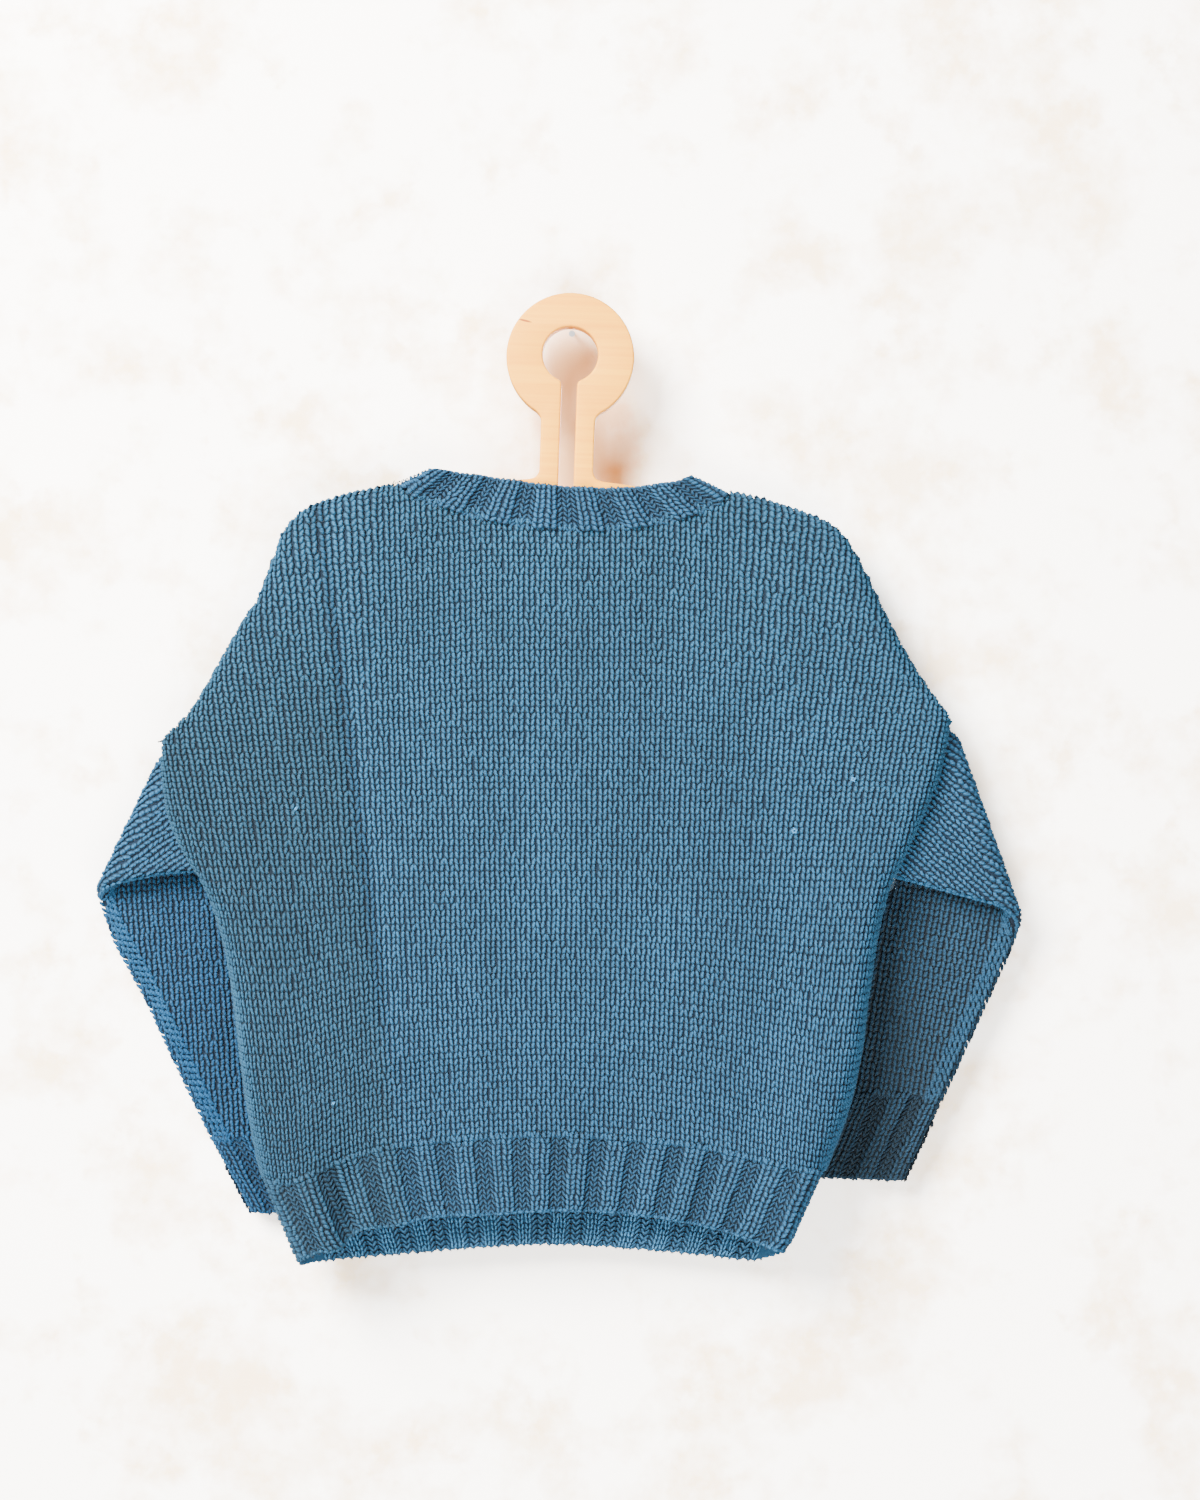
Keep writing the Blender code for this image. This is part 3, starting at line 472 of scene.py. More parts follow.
def crease_height(rows, x, z):
    """Sum of soft ridges and troughs along straight lines."""
    total = np.zeros(np.shape(x))
    for x0, z0, x1, z1, width, height in rows:
        way = np.array((x1 - x0, z1 - z0))
        t = ((x - x0) * way[0] + (z - z0) * way[1]) / (way @ way)
        near = np.clip(t, 0, 1)
        gap = np.hypot(x - x0 - near * way[0], z - z0 - near * way[1])
        ends = soft_step(t, -0.05, 0.35) * (1 - soft_step(t, 1.1, 1.5))
        total += height * np.exp(-(gap / width)**2) * ends
    return total


def turn_radius(z):
    return TURN_RADIUS + (SHOULDER_RADIUS - TURN_RADIUS) * soft_step(z, -125, -100)


def body_depth(x, z, front):
    """Depth of the cloth at its folds and in its flat."""
    return armhole_stand_off(x, z), smooth_through(BODY_DEPTH, z)[..., 1 if front else 0]


def body_surface(x, z, front, from_fold):
    """Outer surface of the body as points; from_fold is each point's distance to the turning edge."""
    turn = np.sqrt(1 - (1 - np.clip(from_fold / turn_radius(z), 0, 1))**2)
    edge, full = body_depth(x, z, front)
    depth = edge + (full - edge) * turn
    depth = depth + crease_height(FRONT_FOLDS if front else BACK_FOLDS, x, z) * soft_step(from_fold, 0, 16)
    return np.stack((x, depth if front else -depth, z), axis=-1)


def turn_slack(x, z, front, from_fold):
    """How much longer the turning cloth is than its picture, at each point."""
    radius = turn_radius(z)
    edge, full = body_depth(x, z, front)
    start = np.arccos(1 - np.clip(from_fold / radius, 0, 1))
    sweep = pi / 2 - start
    angles = start[..., None] + sweep[..., None] * np.linspace(0, 1, 13)
    speed = np.hypot(radius[..., None] * np.sin(angles), (full - edge)[..., None] * np.cos(angles))
    arc = (speed.sum(axis=-1) - (speed[..., 0] + speed[..., -1]) / 2) * sweep / 12
    return arc - (radius - np.clip(from_fold, 0, radius))


def grid_normals(points, outwards, ring=False):
    """Unit normals of a grid of points; outwards gives the sign. A ring closes on its columns."""
    if ring:
        across = np.roll(points, -1, axis=1) - np.roll(points, 1, axis=1)
    else:
        across = np.gradient(points, axis=1)
    normals = np.cross(across, np.gradient(points, axis=0))
    return outwards * normals / np.maximum(np.linalg.norm(normals, axis=-1, keepdims=True), 1e-9)


def patch(bottom, top, left, right, u, v):
    """A surface spanned by four border curves, read at the stations u across and v up."""
    u = np.asarray(u)[None, :, None]
    v = np.asarray(v)[:, None, None]
    bottom, top = bottom[None], top[None]
    left, right = left[:, None], right[:, None]
    spanned = (1 - v) * bottom + v * top + (1 - u) * left + u * right
    corners = ((1 - u) * (1 - v) * bottom[:, :1] + u * (1 - v) * bottom[:, -1:]
               + (1 - u) * v * top[:, :1] + u * v * top[:, -1:])
    return spanned - corners


def laid_out(bottom, top, sides, u, v, folds):
    """Picture places of a grid between four borders, and how far and which way its folds lie."""
    for k in (0, -1):
        bottom[k], top[k] = sides[k][0], sides[k][-1]
    flat = patch(bottom, top, *sides, u, v)
    x, z = flat[..., 0], flat[..., 1]
    from_fold, way_x, way_z = nearest_fold(folds, x, z)
    from_fold[:, 0] = from_fold[:, -1] = 0
    return x, z, from_fold, way_x, way_z


def edge_spread(count, length):
    """Stations from 0 to 1, close together at both ends, where the cloth turns."""
    near = np.array(TURN_STEPS) / length
    return np.concatenate((near, np.linspace(near[-1], 1 - near[-1], count)[1:-1], 1 - near[::-1]))


def neck_line(front):
    return along_curve(FRONT_NECK_LOW if front else BACK_NECK_LOW, 4)


def rib_seam(front, x):
    """Height of the line between a panel and its welt."""
    return smooth_through(FRONT_RIB_TOP if front else BACK_RIB_TOP, x)


class Cloth:
    """A grid of cloth: points of its outer face, their normals, and its wales and courses."""

    def __init__(self, points, normals, knit):
        self.points, self.normals, self.knit = points, normals, knit

    def at(self, height):
        return self.points + self.normals * height

    def part(self, columns):
        """The cloth's columns that an index picks."""
        return Cloth(self.points[:, columns], self.normals[:, columns], self.knit[:, columns])


def body_knit(x, z, front, from_fold, way_x, way_z):
    """Wale and course numbers over a panel, which run on evenly round its folds."""
    slack = turn_slack(x, z, front, from_fold)
    x, z = x + slack * way_x, z + slack * way_z
    lean = np.clip((abs(x + KNIT_CENTRE) - LEAN_FROM) / LEAN_REACH, 0, 1) * SIDE_LEAN
    wale = (x + KNIT_CENTRE - np.sign(x) * lean * (z - LEAN_LEVEL)) / smooth_through(WALE_WIDTH, z)
    seam = rib_seam(front, x)
    level = rib_seam(front, np.array([0.0]))[0]
    settle = soft_step(z, level, level + SETTLE)
    droop = DROOP * np.maximum(abs(x) - DROOP_FROM, 0) * soft_step(z, -260, -120)
    return np.stack((wale, (z + droop - seam * (1 - settle) - level * settle) / COURSE), axis=-1)


def panel_cloth(front):
    """One of the body's two panels, from its welt to the shoulders and neck."""
    start, end = corner(-1, front), corner(1, front)
    u = edge_spread(PANEL_COLUMNS, 300)
    for x in (LEFT_SHOULDER[-1][0], RIGHT_SHOULDER[0][0]):
        share = (x - start[0]) / (end[0] - start[0])
        u[np.argmin(abs(u - share))] = share
    v = edge_spread(PANEL_ROWS, 300)[len(TURN_STEPS) - 1:]
    v = (v - v[0]) / (1 - v[0])
    rows = FRONT_RIB_TOP if front else BACK_RIB_TOP
    low_x = rows[0][0] + (rows[-1][0] - rows[0][0]) * u
    bottom = np.column_stack((low_x, rib_seam(front, low_x) + SEAM_GAP))
    sides = []
    for side, end_point in ((-1, bottom[0]), (1, bottom[-1])):
        line = side_line(side, end_point[1], front)
        z = end_point[1] + (line[-1, 1] - end_point[1]) * v
        points = np.column_stack((np.interp(z, line[:, 1], line[:, 0]), z))
        points[0] = end_point
        sides.append(points)
    top_x = start[0] + (end[0] - start[0]) * u
    line = np.vstack((shoulder_line(-1, front)[:-1], neck_line(front), shoulder_line(1, front)[::-1][1:]))
    top = np.column_stack((top_x, np.interp(top_x, line[:, 0], line[:, 1])))
    x, z, from_fold, way_x, way_z = laid_out(bottom, top, sides, u, v, fold_lines(front))
    shoulder = (top_x < LEFT_SHOULDER[-1][0]) | (top_x > RIGHT_SHOULDER[0][0])
    from_fold[-1, shoulder] = 0
    for way in (way_x, way_z):
        way[:, 0], way[:, -1] = way[:, 1], way[:, -2]
        way[-1, shoulder] = way[-2, shoulder]
    points = body_surface(x, z, front, from_fold)
    knit = body_knit(x, z, front, from_fold, way_x, way_z)
    return Cloth(points, grid_normals(points, -1 if front else 1), knit)


def rib_ridge(phase):
    """Rounded profile of a 2x2 rib: phase 0 to 0.5 is the raised pair of knit wales."""
    from_ridge = abs((phase - 0.25 + 0.5) % 1.0 - 0.5)
    return (RIB_RELIEF + RIB_VALLEY) * (1 - soft_step(from_ridge, 0.16, 0.33)) - RIB_VALLEY


def rib_wales(phase):
    """Wales counted across a rib; the knit pair is wider than the purl one, which draws in."""
    shifted = phase + (KNIT_SHARE - 0.5) / 2
    part = shifted % 1.0
    knit = 0.5 * part / KNIT_SHARE
    purl = 0.5 + 0.5 * (part - KNIT_SHARE) / (1 - KNIT_SHARE)
    return RIB_WALES * (np.floor(shifted) + np.where(part < KNIT_SHARE, knit, purl))


def welt_cloth(hem, front, inside=False):
    """A ribbed welt from the hem to its panel; inside gives the face that looks into the body."""
    width = hem[-1][0] - hem[0][0]
    u = edge_spread(int(width / WELT_STATION), width)
    v = np.linspace(0, 1, WELT_ROWS)
    rows = FRONT_RIB_TOP if front else BACK_RIB_TOP
    sides = []
    for side, k in ((-1, 0), (1, -1)):
        low, high = np.array(hem[k], dtype=float), np.array(rows[k], dtype=float)
        points = low + (high - low) * v[:, None]
        points[1:-1, 0] = body_edge(points[1:-1, 1], side)
        sides.append(points)
    low_x = hem[0][0] + width * u
    bottom = np.column_stack((low_x, smooth_through(hem, low_x)))
    top_x = rows[0][0] + (rows[-1][0] - rows[0][0]) * u
    top = np.column_stack((top_x, rib_seam(front, top_x)))
    x, z, from_fold, _, _ = laid_out(bottom, top, sides, u, v, fold_lines())
    base = body_surface(x, z, front, from_fold)
    normals = grid_normals(base, -1 if front else 1)
    phase = u * width / HEM_RIB_PITCH + np.zeros_like(x)
    relief = rib_ridge(phase) * soft_step(from_fold, 0, 5)
    knit = np.stack((rib_wales(phase), v[:, None] * WELT_COURSES + np.zeros_like(x)), axis=-1)
    if inside:
        relief = relief - WALL
        base = base + normals * relief[..., None]
        base[..., 1] = np.maximum(base[..., 1], INSIDE_KEEP)
        return Cloth(base, -normals, knit)
    return Cloth(base + normals * relief[..., None], normals, knit)


def neckband_cloth():
    """The ribbed ring round the neck, shallow at the back and scooped at the front."""
    parts, start = [], 0.0
    for top, front in ((BACK_NECK_TOP, False), (FRONT_NECK_TOP, True)):
        low_line, top_line = neck_line(front), along_curve(top, 8)
        length = (length_of(low_line) + length_of(top_line)) / 2
        share = np.linspace(0, 1, int(length / NECK_STATION))
        if front:
            repeats = round((start + length) / NECK_RIB_PITCH) - start / NECK_RIB_PITCH
            low_line, top_line = low_line[::-1], top_line[::-1]
        else:
            repeats = length / NECK_RIB_PITCH
        phase = start / NECK_RIB_PITCH + repeats * share
        side = np.full(len(share), 1.0 if front else -1.0)
        rows = np.column_stack((resample(low_line, share), resample(top_line, share), side, phase))
        parts.append(rows[:-1])
        start += length
    rows = np.vstack(parts)
    ends = np.array((0, len(parts[0])))
    low, top, side, phase = rows[:, :2], rows[:, 2:4], rows[:, 4], rows[:, 5]
    v = np.linspace(0, 1, NECK_ROWS)[:, None, None]
    flat = low + (top - low) * v
    x, z = flat[..., 0], flat[..., 1]
    from_fold, _, _ = nearest_fold(fold_lines(), x, z)
    from_fold[:, ends] = 0
    points = body_surface(x, z, False, from_fold)
    points[..., 1] = np.where(side > 0, -1, 1) * points[..., 1]
    points[:, ends, 1] = 0
    normals = grid_normals(points, 1, ring=True)
    relief = rib_ridge(phase) * soft_step(from_fold, 0, 4)
    level = np.zeros_like(x)
    knit = np.stack((rib_wales(phase) + level, v[..., 0] * NECK_COURSES + level), axis=-1)
    return Cloth(points + normals * relief[..., None], normals, knit)


class Fold:
    """The elbow fold: the sleeve lies flat in the picture plane, then turns back behind itself."""

    def __init__(self, line, side):
        self.top = np.array(line[0])
        way = np.array(line[1]) - self.top
        self.way = way / np.linalg.norm(way)
        self.out = np.array((side * abs(self.way[1]), abs(self.way[0])))

    def upper(self, point):
        """Unfolded place of a point on the upper sleeve: along the fold, across it."""
        gap = np.asarray(point, dtype=float) - self.top
        return np.array((gap @ self.way, gap @ self.out))

    def lower(self, point):
        """Unfolded place of a point on the forearm, which lies behind."""
        along, across = self.upper(point)
        return np.array((along, pi * FOLD_RADIUS - across))

    def place(self, along, across, layer):
        """A point of the unfolded sleeve, folded; layer is its height in the cloth's thickness."""
        angle = np.clip(across / FOLD_RADIUS, 0, pi)
        radius = FOLD_RADIUS - layer
        past = np.maximum(across - pi * FOLD_RADIUS, 0)
        reach = np.minimum(across, 0) + radius * np.sin(angle) - past
        depth = FOLD_RADIUS - radius * np.cos(angle) + CUFF_SET_BACK * soft_step(past, 10, 150)
        flat = self.top + along[..., None] * self.way + reach[..., None] * self.out
        return np.stack((flat[..., 0], depth, flat[..., 1]), axis=-1)


def tube_face(fold, edges, face, side, ribbed=False):
    """One face of a flattened tube, from the middle of its one edge to the middle of the other."""
    turn = np.linspace(0, pi / 2, 5)[:-1]
    points, knit = [], []
    for number, (low, high) in enumerate(edges):
        width = np.linalg.norm(high - low)
        way = (high - low) / width
        flat = np.linspace(SLEEVE_HALF, width - SLEEVE_HALF, CUFF_COLUMNS if ribbed else SLEEVE_COLUMNS)
        across = np.concatenate((SLEEVE_HALF - SLEEVE_HALF * np.cos(turn), flat,
                                 width - SLEEVE_HALF + SLEEVE_HALF * np.cos(turn[::-1])))
        arc = np.concatenate((SLEEVE_HALF * (1 + turn - pi / 2), flat,
                              width - SLEEVE_HALF + SLEEVE_HALF * (pi / 2 - turn[::-1])))
        layer = SLEEVE_HALF * np.concatenate((np.sin(turn), np.ones(len(flat)), np.sin(turn[::-1])))
        unfolded = low + arc[:, None] * way
        if ribbed:
            phase = CUFF_REPEATS * arc / width
            wale = rib_wales(phase)
            layer = layer + rib_ridge(phase) * soft_step(np.minimum(arc, width - arc), 0, 3)
            course = np.full(len(arc), CUFF_COURSES * (1 - number / (len(edges) - 1)))
        else:
            layer = layer + crease_height(SLEEVE_FOLDS, unfolded[:, 0], unfolded[:, 1])
            course = unfolded @ np.array(SLEEVE_WALE_WAY) / -COURSE
            wale = side * unfolded @ np.array((-SLEEVE_WALE_WAY[1], SLEEVE_WALE_WAY[0])) / SLEEVE_WALE
        spots = low + across[:, None] * way
        points.append(fold.place(spots[:, 0], spots[:, 1], face * layer))
        knit.append(np.column_stack((wale, course)))
    return np.array(points), np.array(knit)


def tube_cloths(fold, edges, side, ribbed=False):
    """Both faces of a flattened tube: the one that faces the viewer above the elbow, and the other."""
    pair = [tube_face(fold, edges, face, side, ribbed) for face in (-1, 1)]
    cloths = []
    for own, other in ((0, 1), (1, 0)):
        points, knit = pair[own]
        normals = grid_normals(points, 1)
        if (normals * (points - pair[other][0])).sum() < 0:
            normals = -normals
        cloths.append(Cloth(points, normals, knit))
    return cloths


def sleeve_edges(name):
    """Pairs of underarm and overarm edge points, ring by ring, for a sleeve and for its cuff."""
    side, line, upper_under, forearm, inner_start, (cuff_outer, cuff_inner) = SLEEVES[name]
    fold = Fold(line, side)
    start = fold.upper(line[0]) + np.array(SLEEVE_START)
    under = np.array([fold.upper(p) for p in upper_under] + [fold.lower(p) for p in forearm])
    over = np.array((start, fold.lower(inner_start)))
    turn = pi * FOLD_RADIUS
    shares = [np.linspace(0, 1, count + 1) for count in SLEEVE_RINGS]
    edges = []
    for line_points, ends in ((under, (under[0][1], under[-1][1])), (over, (start[1], over[-1][1]))):
        at = np.concatenate((ends[0] * (1 - shares[0]), turn * shares[1][1:],
                             turn + (ends[1] - turn) * shares[2][1:]))
        edges.append(np.column_stack((np.interp(at, line_points[:, 1], line_points[:, 0]), at)))
    cuff = []
    for share in np.linspace(CUFF_START, 1, CUFF_ROWS):
        cuff.append((under[-1] + (fold.lower(cuff_outer) - under[-1]) * share,
                     over[-1] + (fold.lower(cuff_inner) - over[-1]) * share))
    return fold, side, list(zip(*edges)), cuff


# Meshes


def new_object(name, data):
    thing = bpy.data.objects.new(name, data)
    bpy.context.scene.collection.objects.link(thing)
    return thing


def mesh_of(shape, name, material=None, smooth=True):
    """A mesh with the shape of a bmesh, which is freed."""
    data = bpy.data.meshes.new(name)
    shape.to_mesh(data)
    shape.free()
    if smooth:
        data.shade_smooth()
    if material:
        data.materials.append(material)
    return data


def wall(name, outer, inner, ring, material):
    """A closed wall between two grids of points in millimetres, with rims round its open borders."""
    rows, columns = outer.shape[:2]
    mesh = bmesh.new()
    rise = mesh.verts.layers.float.new("rise")
    out, back = [[[mesh.verts.new(sheet[r, c] * MM) for c in range(columns)] for r in range(rows)]
                 for sheet in (outer, inner)]
    last = columns if ring else columns - 1
    for c in range(last):
        d = (c + 1) % columns
        for r in range(rows - 1):
            mesh.faces.new((out[r][c], out[r][d], out[r + 1][d], out[r + 1][c]))
            mesh.faces.new((back[r][c], back[r + 1][c], back[r + 1][d], back[r][d]))
        mesh.faces.new((out[0][c], back[0][c], back[0][d], out[0][d]))
        mesh.faces.new((out[-1][c], out[-1][d], back[-1][d], back[-1][c]))
    if not ring:
        for r in range(rows - 1):
            mesh.faces.new((out[r][0], out[r + 1][0], back[r + 1][0], back[r][0]))
            mesh.faces.new((out[r][-1], back[r][-1], back[r + 1][-1], out[r + 1][-1]))
    # the ground under the stitches gets no painted light, so it takes the painted deep shade; the bare inside
    # and rims get some
    bare = [vertex for row in (*back, out[0], out[-1]) for vertex in row]
    if not ring:
        bare += [row[side] for row in out for side in (0, -1)]
    for vertex in bare:
        vertex[rise] = EDGE_PAINTED_LIGHT
    bmesh.ops.recalc_face_normals(mesh, faces=mesh.faces)
    return new_object(name, mesh_of(mesh, name, material))


def widened(grid, reach, share=None):
    """A grid with one more row or column on every side, reach millimetres on from the border."""
    steps = []
    for axis in (0, 1):
        border = [np.take(grid, row, axis) for row in (0, -1)]
        ways = [edge - np.take(grid, row, axis) for edge, row in zip(border, (EDGE_BASE, -1 - EDGE_BASE))]
        if share is None:
            step = [reach / np.maximum(np.linalg.norm(way, axis=-1, keepdims=True), 1e-6) for way in ways]
        else:
            step = share[axis]
        steps.append(step)
        start, end = [edge + way * size for edge, way, size in zip(border, ways, step)]
        grid = np.concatenate((np.expand_dims(start, axis), grid, np.expand_dims(end, axis)), axis)
    return grid, steps


def guide(cloth, depth=SHELL_DROP):
    """The open sheet that stitches are laid on: it carries their wales, courses and way out."""
    grid, steps = widened(cloth.at(-depth), GUIDE_MARGIN)
    knit, _ = widened(cloth.knit, 0, steps)
    out = np.pad(cloth.normals, ((1, 1), (1, 1), (0, 0)), mode="edge")
    keep = np.pad(np.ones(cloth.normals.shape[:2]), 1)
    rows, columns = keep.shape
    faces = [(r * columns + c, r * columns + c + 1, (r + 1) * columns + c + 1, (r + 1) * columns + c)
             for r in range(rows - 1) for c in range(columns - 1)]
    mesh = bpy.data.meshes.new("guide")
    mesh.from_pydata((grid * MM).reshape(-1, 3), [], faces)
    spots = mesh.uv_layers.new(name="knit")
    corners = np.array([loop.vertex_index for loop in mesh.loops])
    spots.data.foreach_set("uv", (knit / KNIT_SPAN).reshape(-1, 2)[corners].ravel().astype(np.float32))
    for label, kind, field, values in (("out", "FLOAT_VECTOR", "vector", out),
                                       ("keep", "FLOAT", "value", keep)):
        layer = mesh.attributes.new(label, kind, "POINT")
        layer.data.foreach_set(field, values.ravel().astype(np.float32))
    return new_object("guide", mesh)


def yarn_loop(mesh, rise, twist, path, radius, slope, pale):
    """One leg of a stitch: a closed lozenge of twelve triangles along four points."""
    start, end = [mesh.verts.new(p) for p in (path[0], path[3])]
    rings = []
    for turns, (x, y, z) in zip((TWISTS * 0.3, TWISTS * 0.7), path[1:3]):
        ring = []
        # low sets each ring point's height and, times pale, its painted light: painted shade on a leg's
        # flanks
        for side, low in ((-1, YARN_SHOULDER), (0, 1.0), (1, YARN_SHOULDER)):
            vertex = mesh.verts.new((x + side * slope[0] * radius, y + side * slope[1] * radius, z * low))
            vertex[rise] = low * pale
            vertex[twist] = turns + side * TWIST_LEAN
            ring.append(vertex)
        rings.append(ring)
    start[rise], end[rise] = 0.1, 0.0
    start[twist], end[twist] = 0.0, TWISTS
    for k in range(3):
        n = (k + 1) % 3
        mesh.faces.new((start, rings[0][n], rings[0][k]))
        mesh.faces.new((rings[0][k], rings[0][n], rings[1][n], rings[1][k]))
        mesh.faces.new((rings[1][k], rings[1][n], end))


def stitch_pattern(name, path, height, radius, slope, pale=1.0):
    """A stitch of two mirrored legs, drawn in wales, courses and metres out of the cloth.

    Its painted light tells a crest from a foot, with painted shade at the foot and painted light on the
    crest, scaled by pale; its twist counts the turns of the yarn.
    """
    mesh = bmesh.new()
    rise = mesh.verts.layers.float.new("rise")
    twist = mesh.verts.layers.float.new("twist")
    for side in (-1, 1):
        leg = [(side * x, y, height * z) for x, y, z in path]
        yarn_loop(mesh, rise, twist, leg, radius, (slope[0], side * slope[1]), pale)
    bmesh.ops.recalc_face_normals(mesh, faces=mesh.faces)
    bmesh.ops.triangulate(mesh, faces=mesh.faces)
    return new_object(name, mesh_of(mesh, name))


def knit_stitch(settings):
    """A knit stitch: two plump legs that lean out from its foot."""
    path = ((0.10, -0.30, 0.0), (0.20, 0.18, 1.0), (0.29, 0.78, 0.95), (0.37, 1.34, -0.1))
    radius = settings.yarn_width * 0.46
    return stitch_pattern("knit_stitch", path, settings.yarn_height, radius, (0.97, -0.25))


def purl_stitch(settings, height=0.85):
    """A purl stitch: two short strokes of yarn that meet in a low arch across its wale."""
    path = ((0.56, -0.75, -0.1), (0.42, -0.25, 0.9), (0.14, 0.45, 1.0), (-0.02, 0.85, 0.1))
    # a purl's crest takes 0.55 of the painted light: painted shade on the purl wales, which lie low in a rib
    return stitch_pattern("purl_stitch", path, settings.yarn_height * height, 0.24, (0.80, 0.55), 0.55)


# Geometry node trees


class Wiring:
    """Adds nodes to a tree and links them."""

    def __init__(self, tree):
        self.tree = tree

    def feed(self, socket, value):
        """Link a node's input to another node's output, or set its value."""
        if isinstance(value, bpy.types.NodeSocket):
            self.tree.links.new(value, socket)
        else:
            socket.default_value = value

    def add(self, kind, inputs=None, **options):
        node = self.tree.nodes.new(kind)
        for key, value in options.items():
            setattr(node, key, value)
        for key, value in (inputs or {}).items():
            self.feed(node.inputs[key], value)
        return node

    def math(self, operation, first, second=0.0):
        return self.add("ShaderNodeMath", {0: first, 1: second}, operation=operation).outputs[0]

    def plus(self, first, second):
        return self.math("ADD", first, second)

    def times(self, *factors):
        product = factors[0]
        for factor in factors[1:]:
            product = self.math("MULTIPLY", product, factor)
        return product

    def vector(self, x=0.0, y=0.0, z=0.0):
        return self.add("ShaderNodeCombineXYZ", {0: x, 1: y, 2: z}).outputs[0]

    def vector_math(self, operation, inputs):
        return self.add("ShaderNodeVectorMath", inputs, operation=operation).outputs

    def named(self, name, kind):
        return self.add("GeometryNodeInputNamedAttribute", {"Name": name}, data_type=kind).outputs[0]

    def mesh_in(self, thing):
        return self.add("GeometryNodeObjectInfo", {"Object": thing}).outputs["Geometry"]

    def moved(self, geometry, **inputs):
        return self.add("GeometryNodeSetPosition", {"Geometry": geometry, **inputs}).outputs[0]

    def without(self, geometry, selection, domain="POINT"):
        return self.add("GeometryNodeDeleteGeometry", {"Geometry": geometry, "Selection": selection},
                        domain=domain).outputs[0]

    def instances(self, points, instance, rotation, scale):
        return self.add("GeometryNodeInstanceOnPoints", {"Points": points, "Instance": instance,
                                                         "Rotation": rotation, "Scale": scale}).outputs[0]

    def random(self, low, high, seed, kind="FLOAT"):
        node = self.add("FunctionNodeRandomValue", {"Seed": seed}, data_type=kind)
        keys = {"FLOAT": (2, 3, 1), "FLOAT_VECTOR": (0, 1, 0)}[kind]
        self.feed(node.inputs[keys[0]], low)
        self.feed(node.inputs[keys[1]], high)
        return node.outputs[keys[2]]


def open_tree(name, sockets):
    """A geometry tree with named inputs: its wiring and its input sockets."""
    tree = bpy.data.node_groups.new(name, "GeometryNodeTree")
    for label, kind, default in (("Geometry", "Geometry", None), *sockets):
        socket = tree.interface.new_socket(name=label, in_out="INPUT", socket_type="NodeSocket" + kind)
        if default is not None:
            socket.default_value = default
    tree.interface.new_socket(name="Geometry", in_out="OUTPUT", socket_type="NodeSocketGeometry")
    w = Wiring(tree)
    return w, w.add("NodeGroupInput").outputs


def toned(w, rows, low, seed):
    """Give every instance a tone of its own."""
    tone = w.random(low, 1.0, w.plus(seed, 29.0))
    return w.add("GeometryNodeStoreNamedAttribute", {"Geometry": rows, "Name": "tone", "Value": tone},
                 data_type="FLOAT", domain="INSTANCE").outputs[0]


def close_tree(w, given, laid):
    """Join what was laid to the geometry that came in, as real geometry in its wool."""
    joined = w.add("GeometryNodeJoinGeometry", {0: given["Geometry"]})
    w.feed(joined.inputs[0], laid)
    finished = w.add("GeometryNodeRealizeInstances", {"Geometry": joined.outputs[0]})
    coloured = w.add("GeometryNodeSetMaterial", {"Geometry": finished.outputs[0],
                                                 "Material": given["Wool"]})
    w.add("NodeGroupOutput", {0: coloured.outputs[0]})
    return w.tree


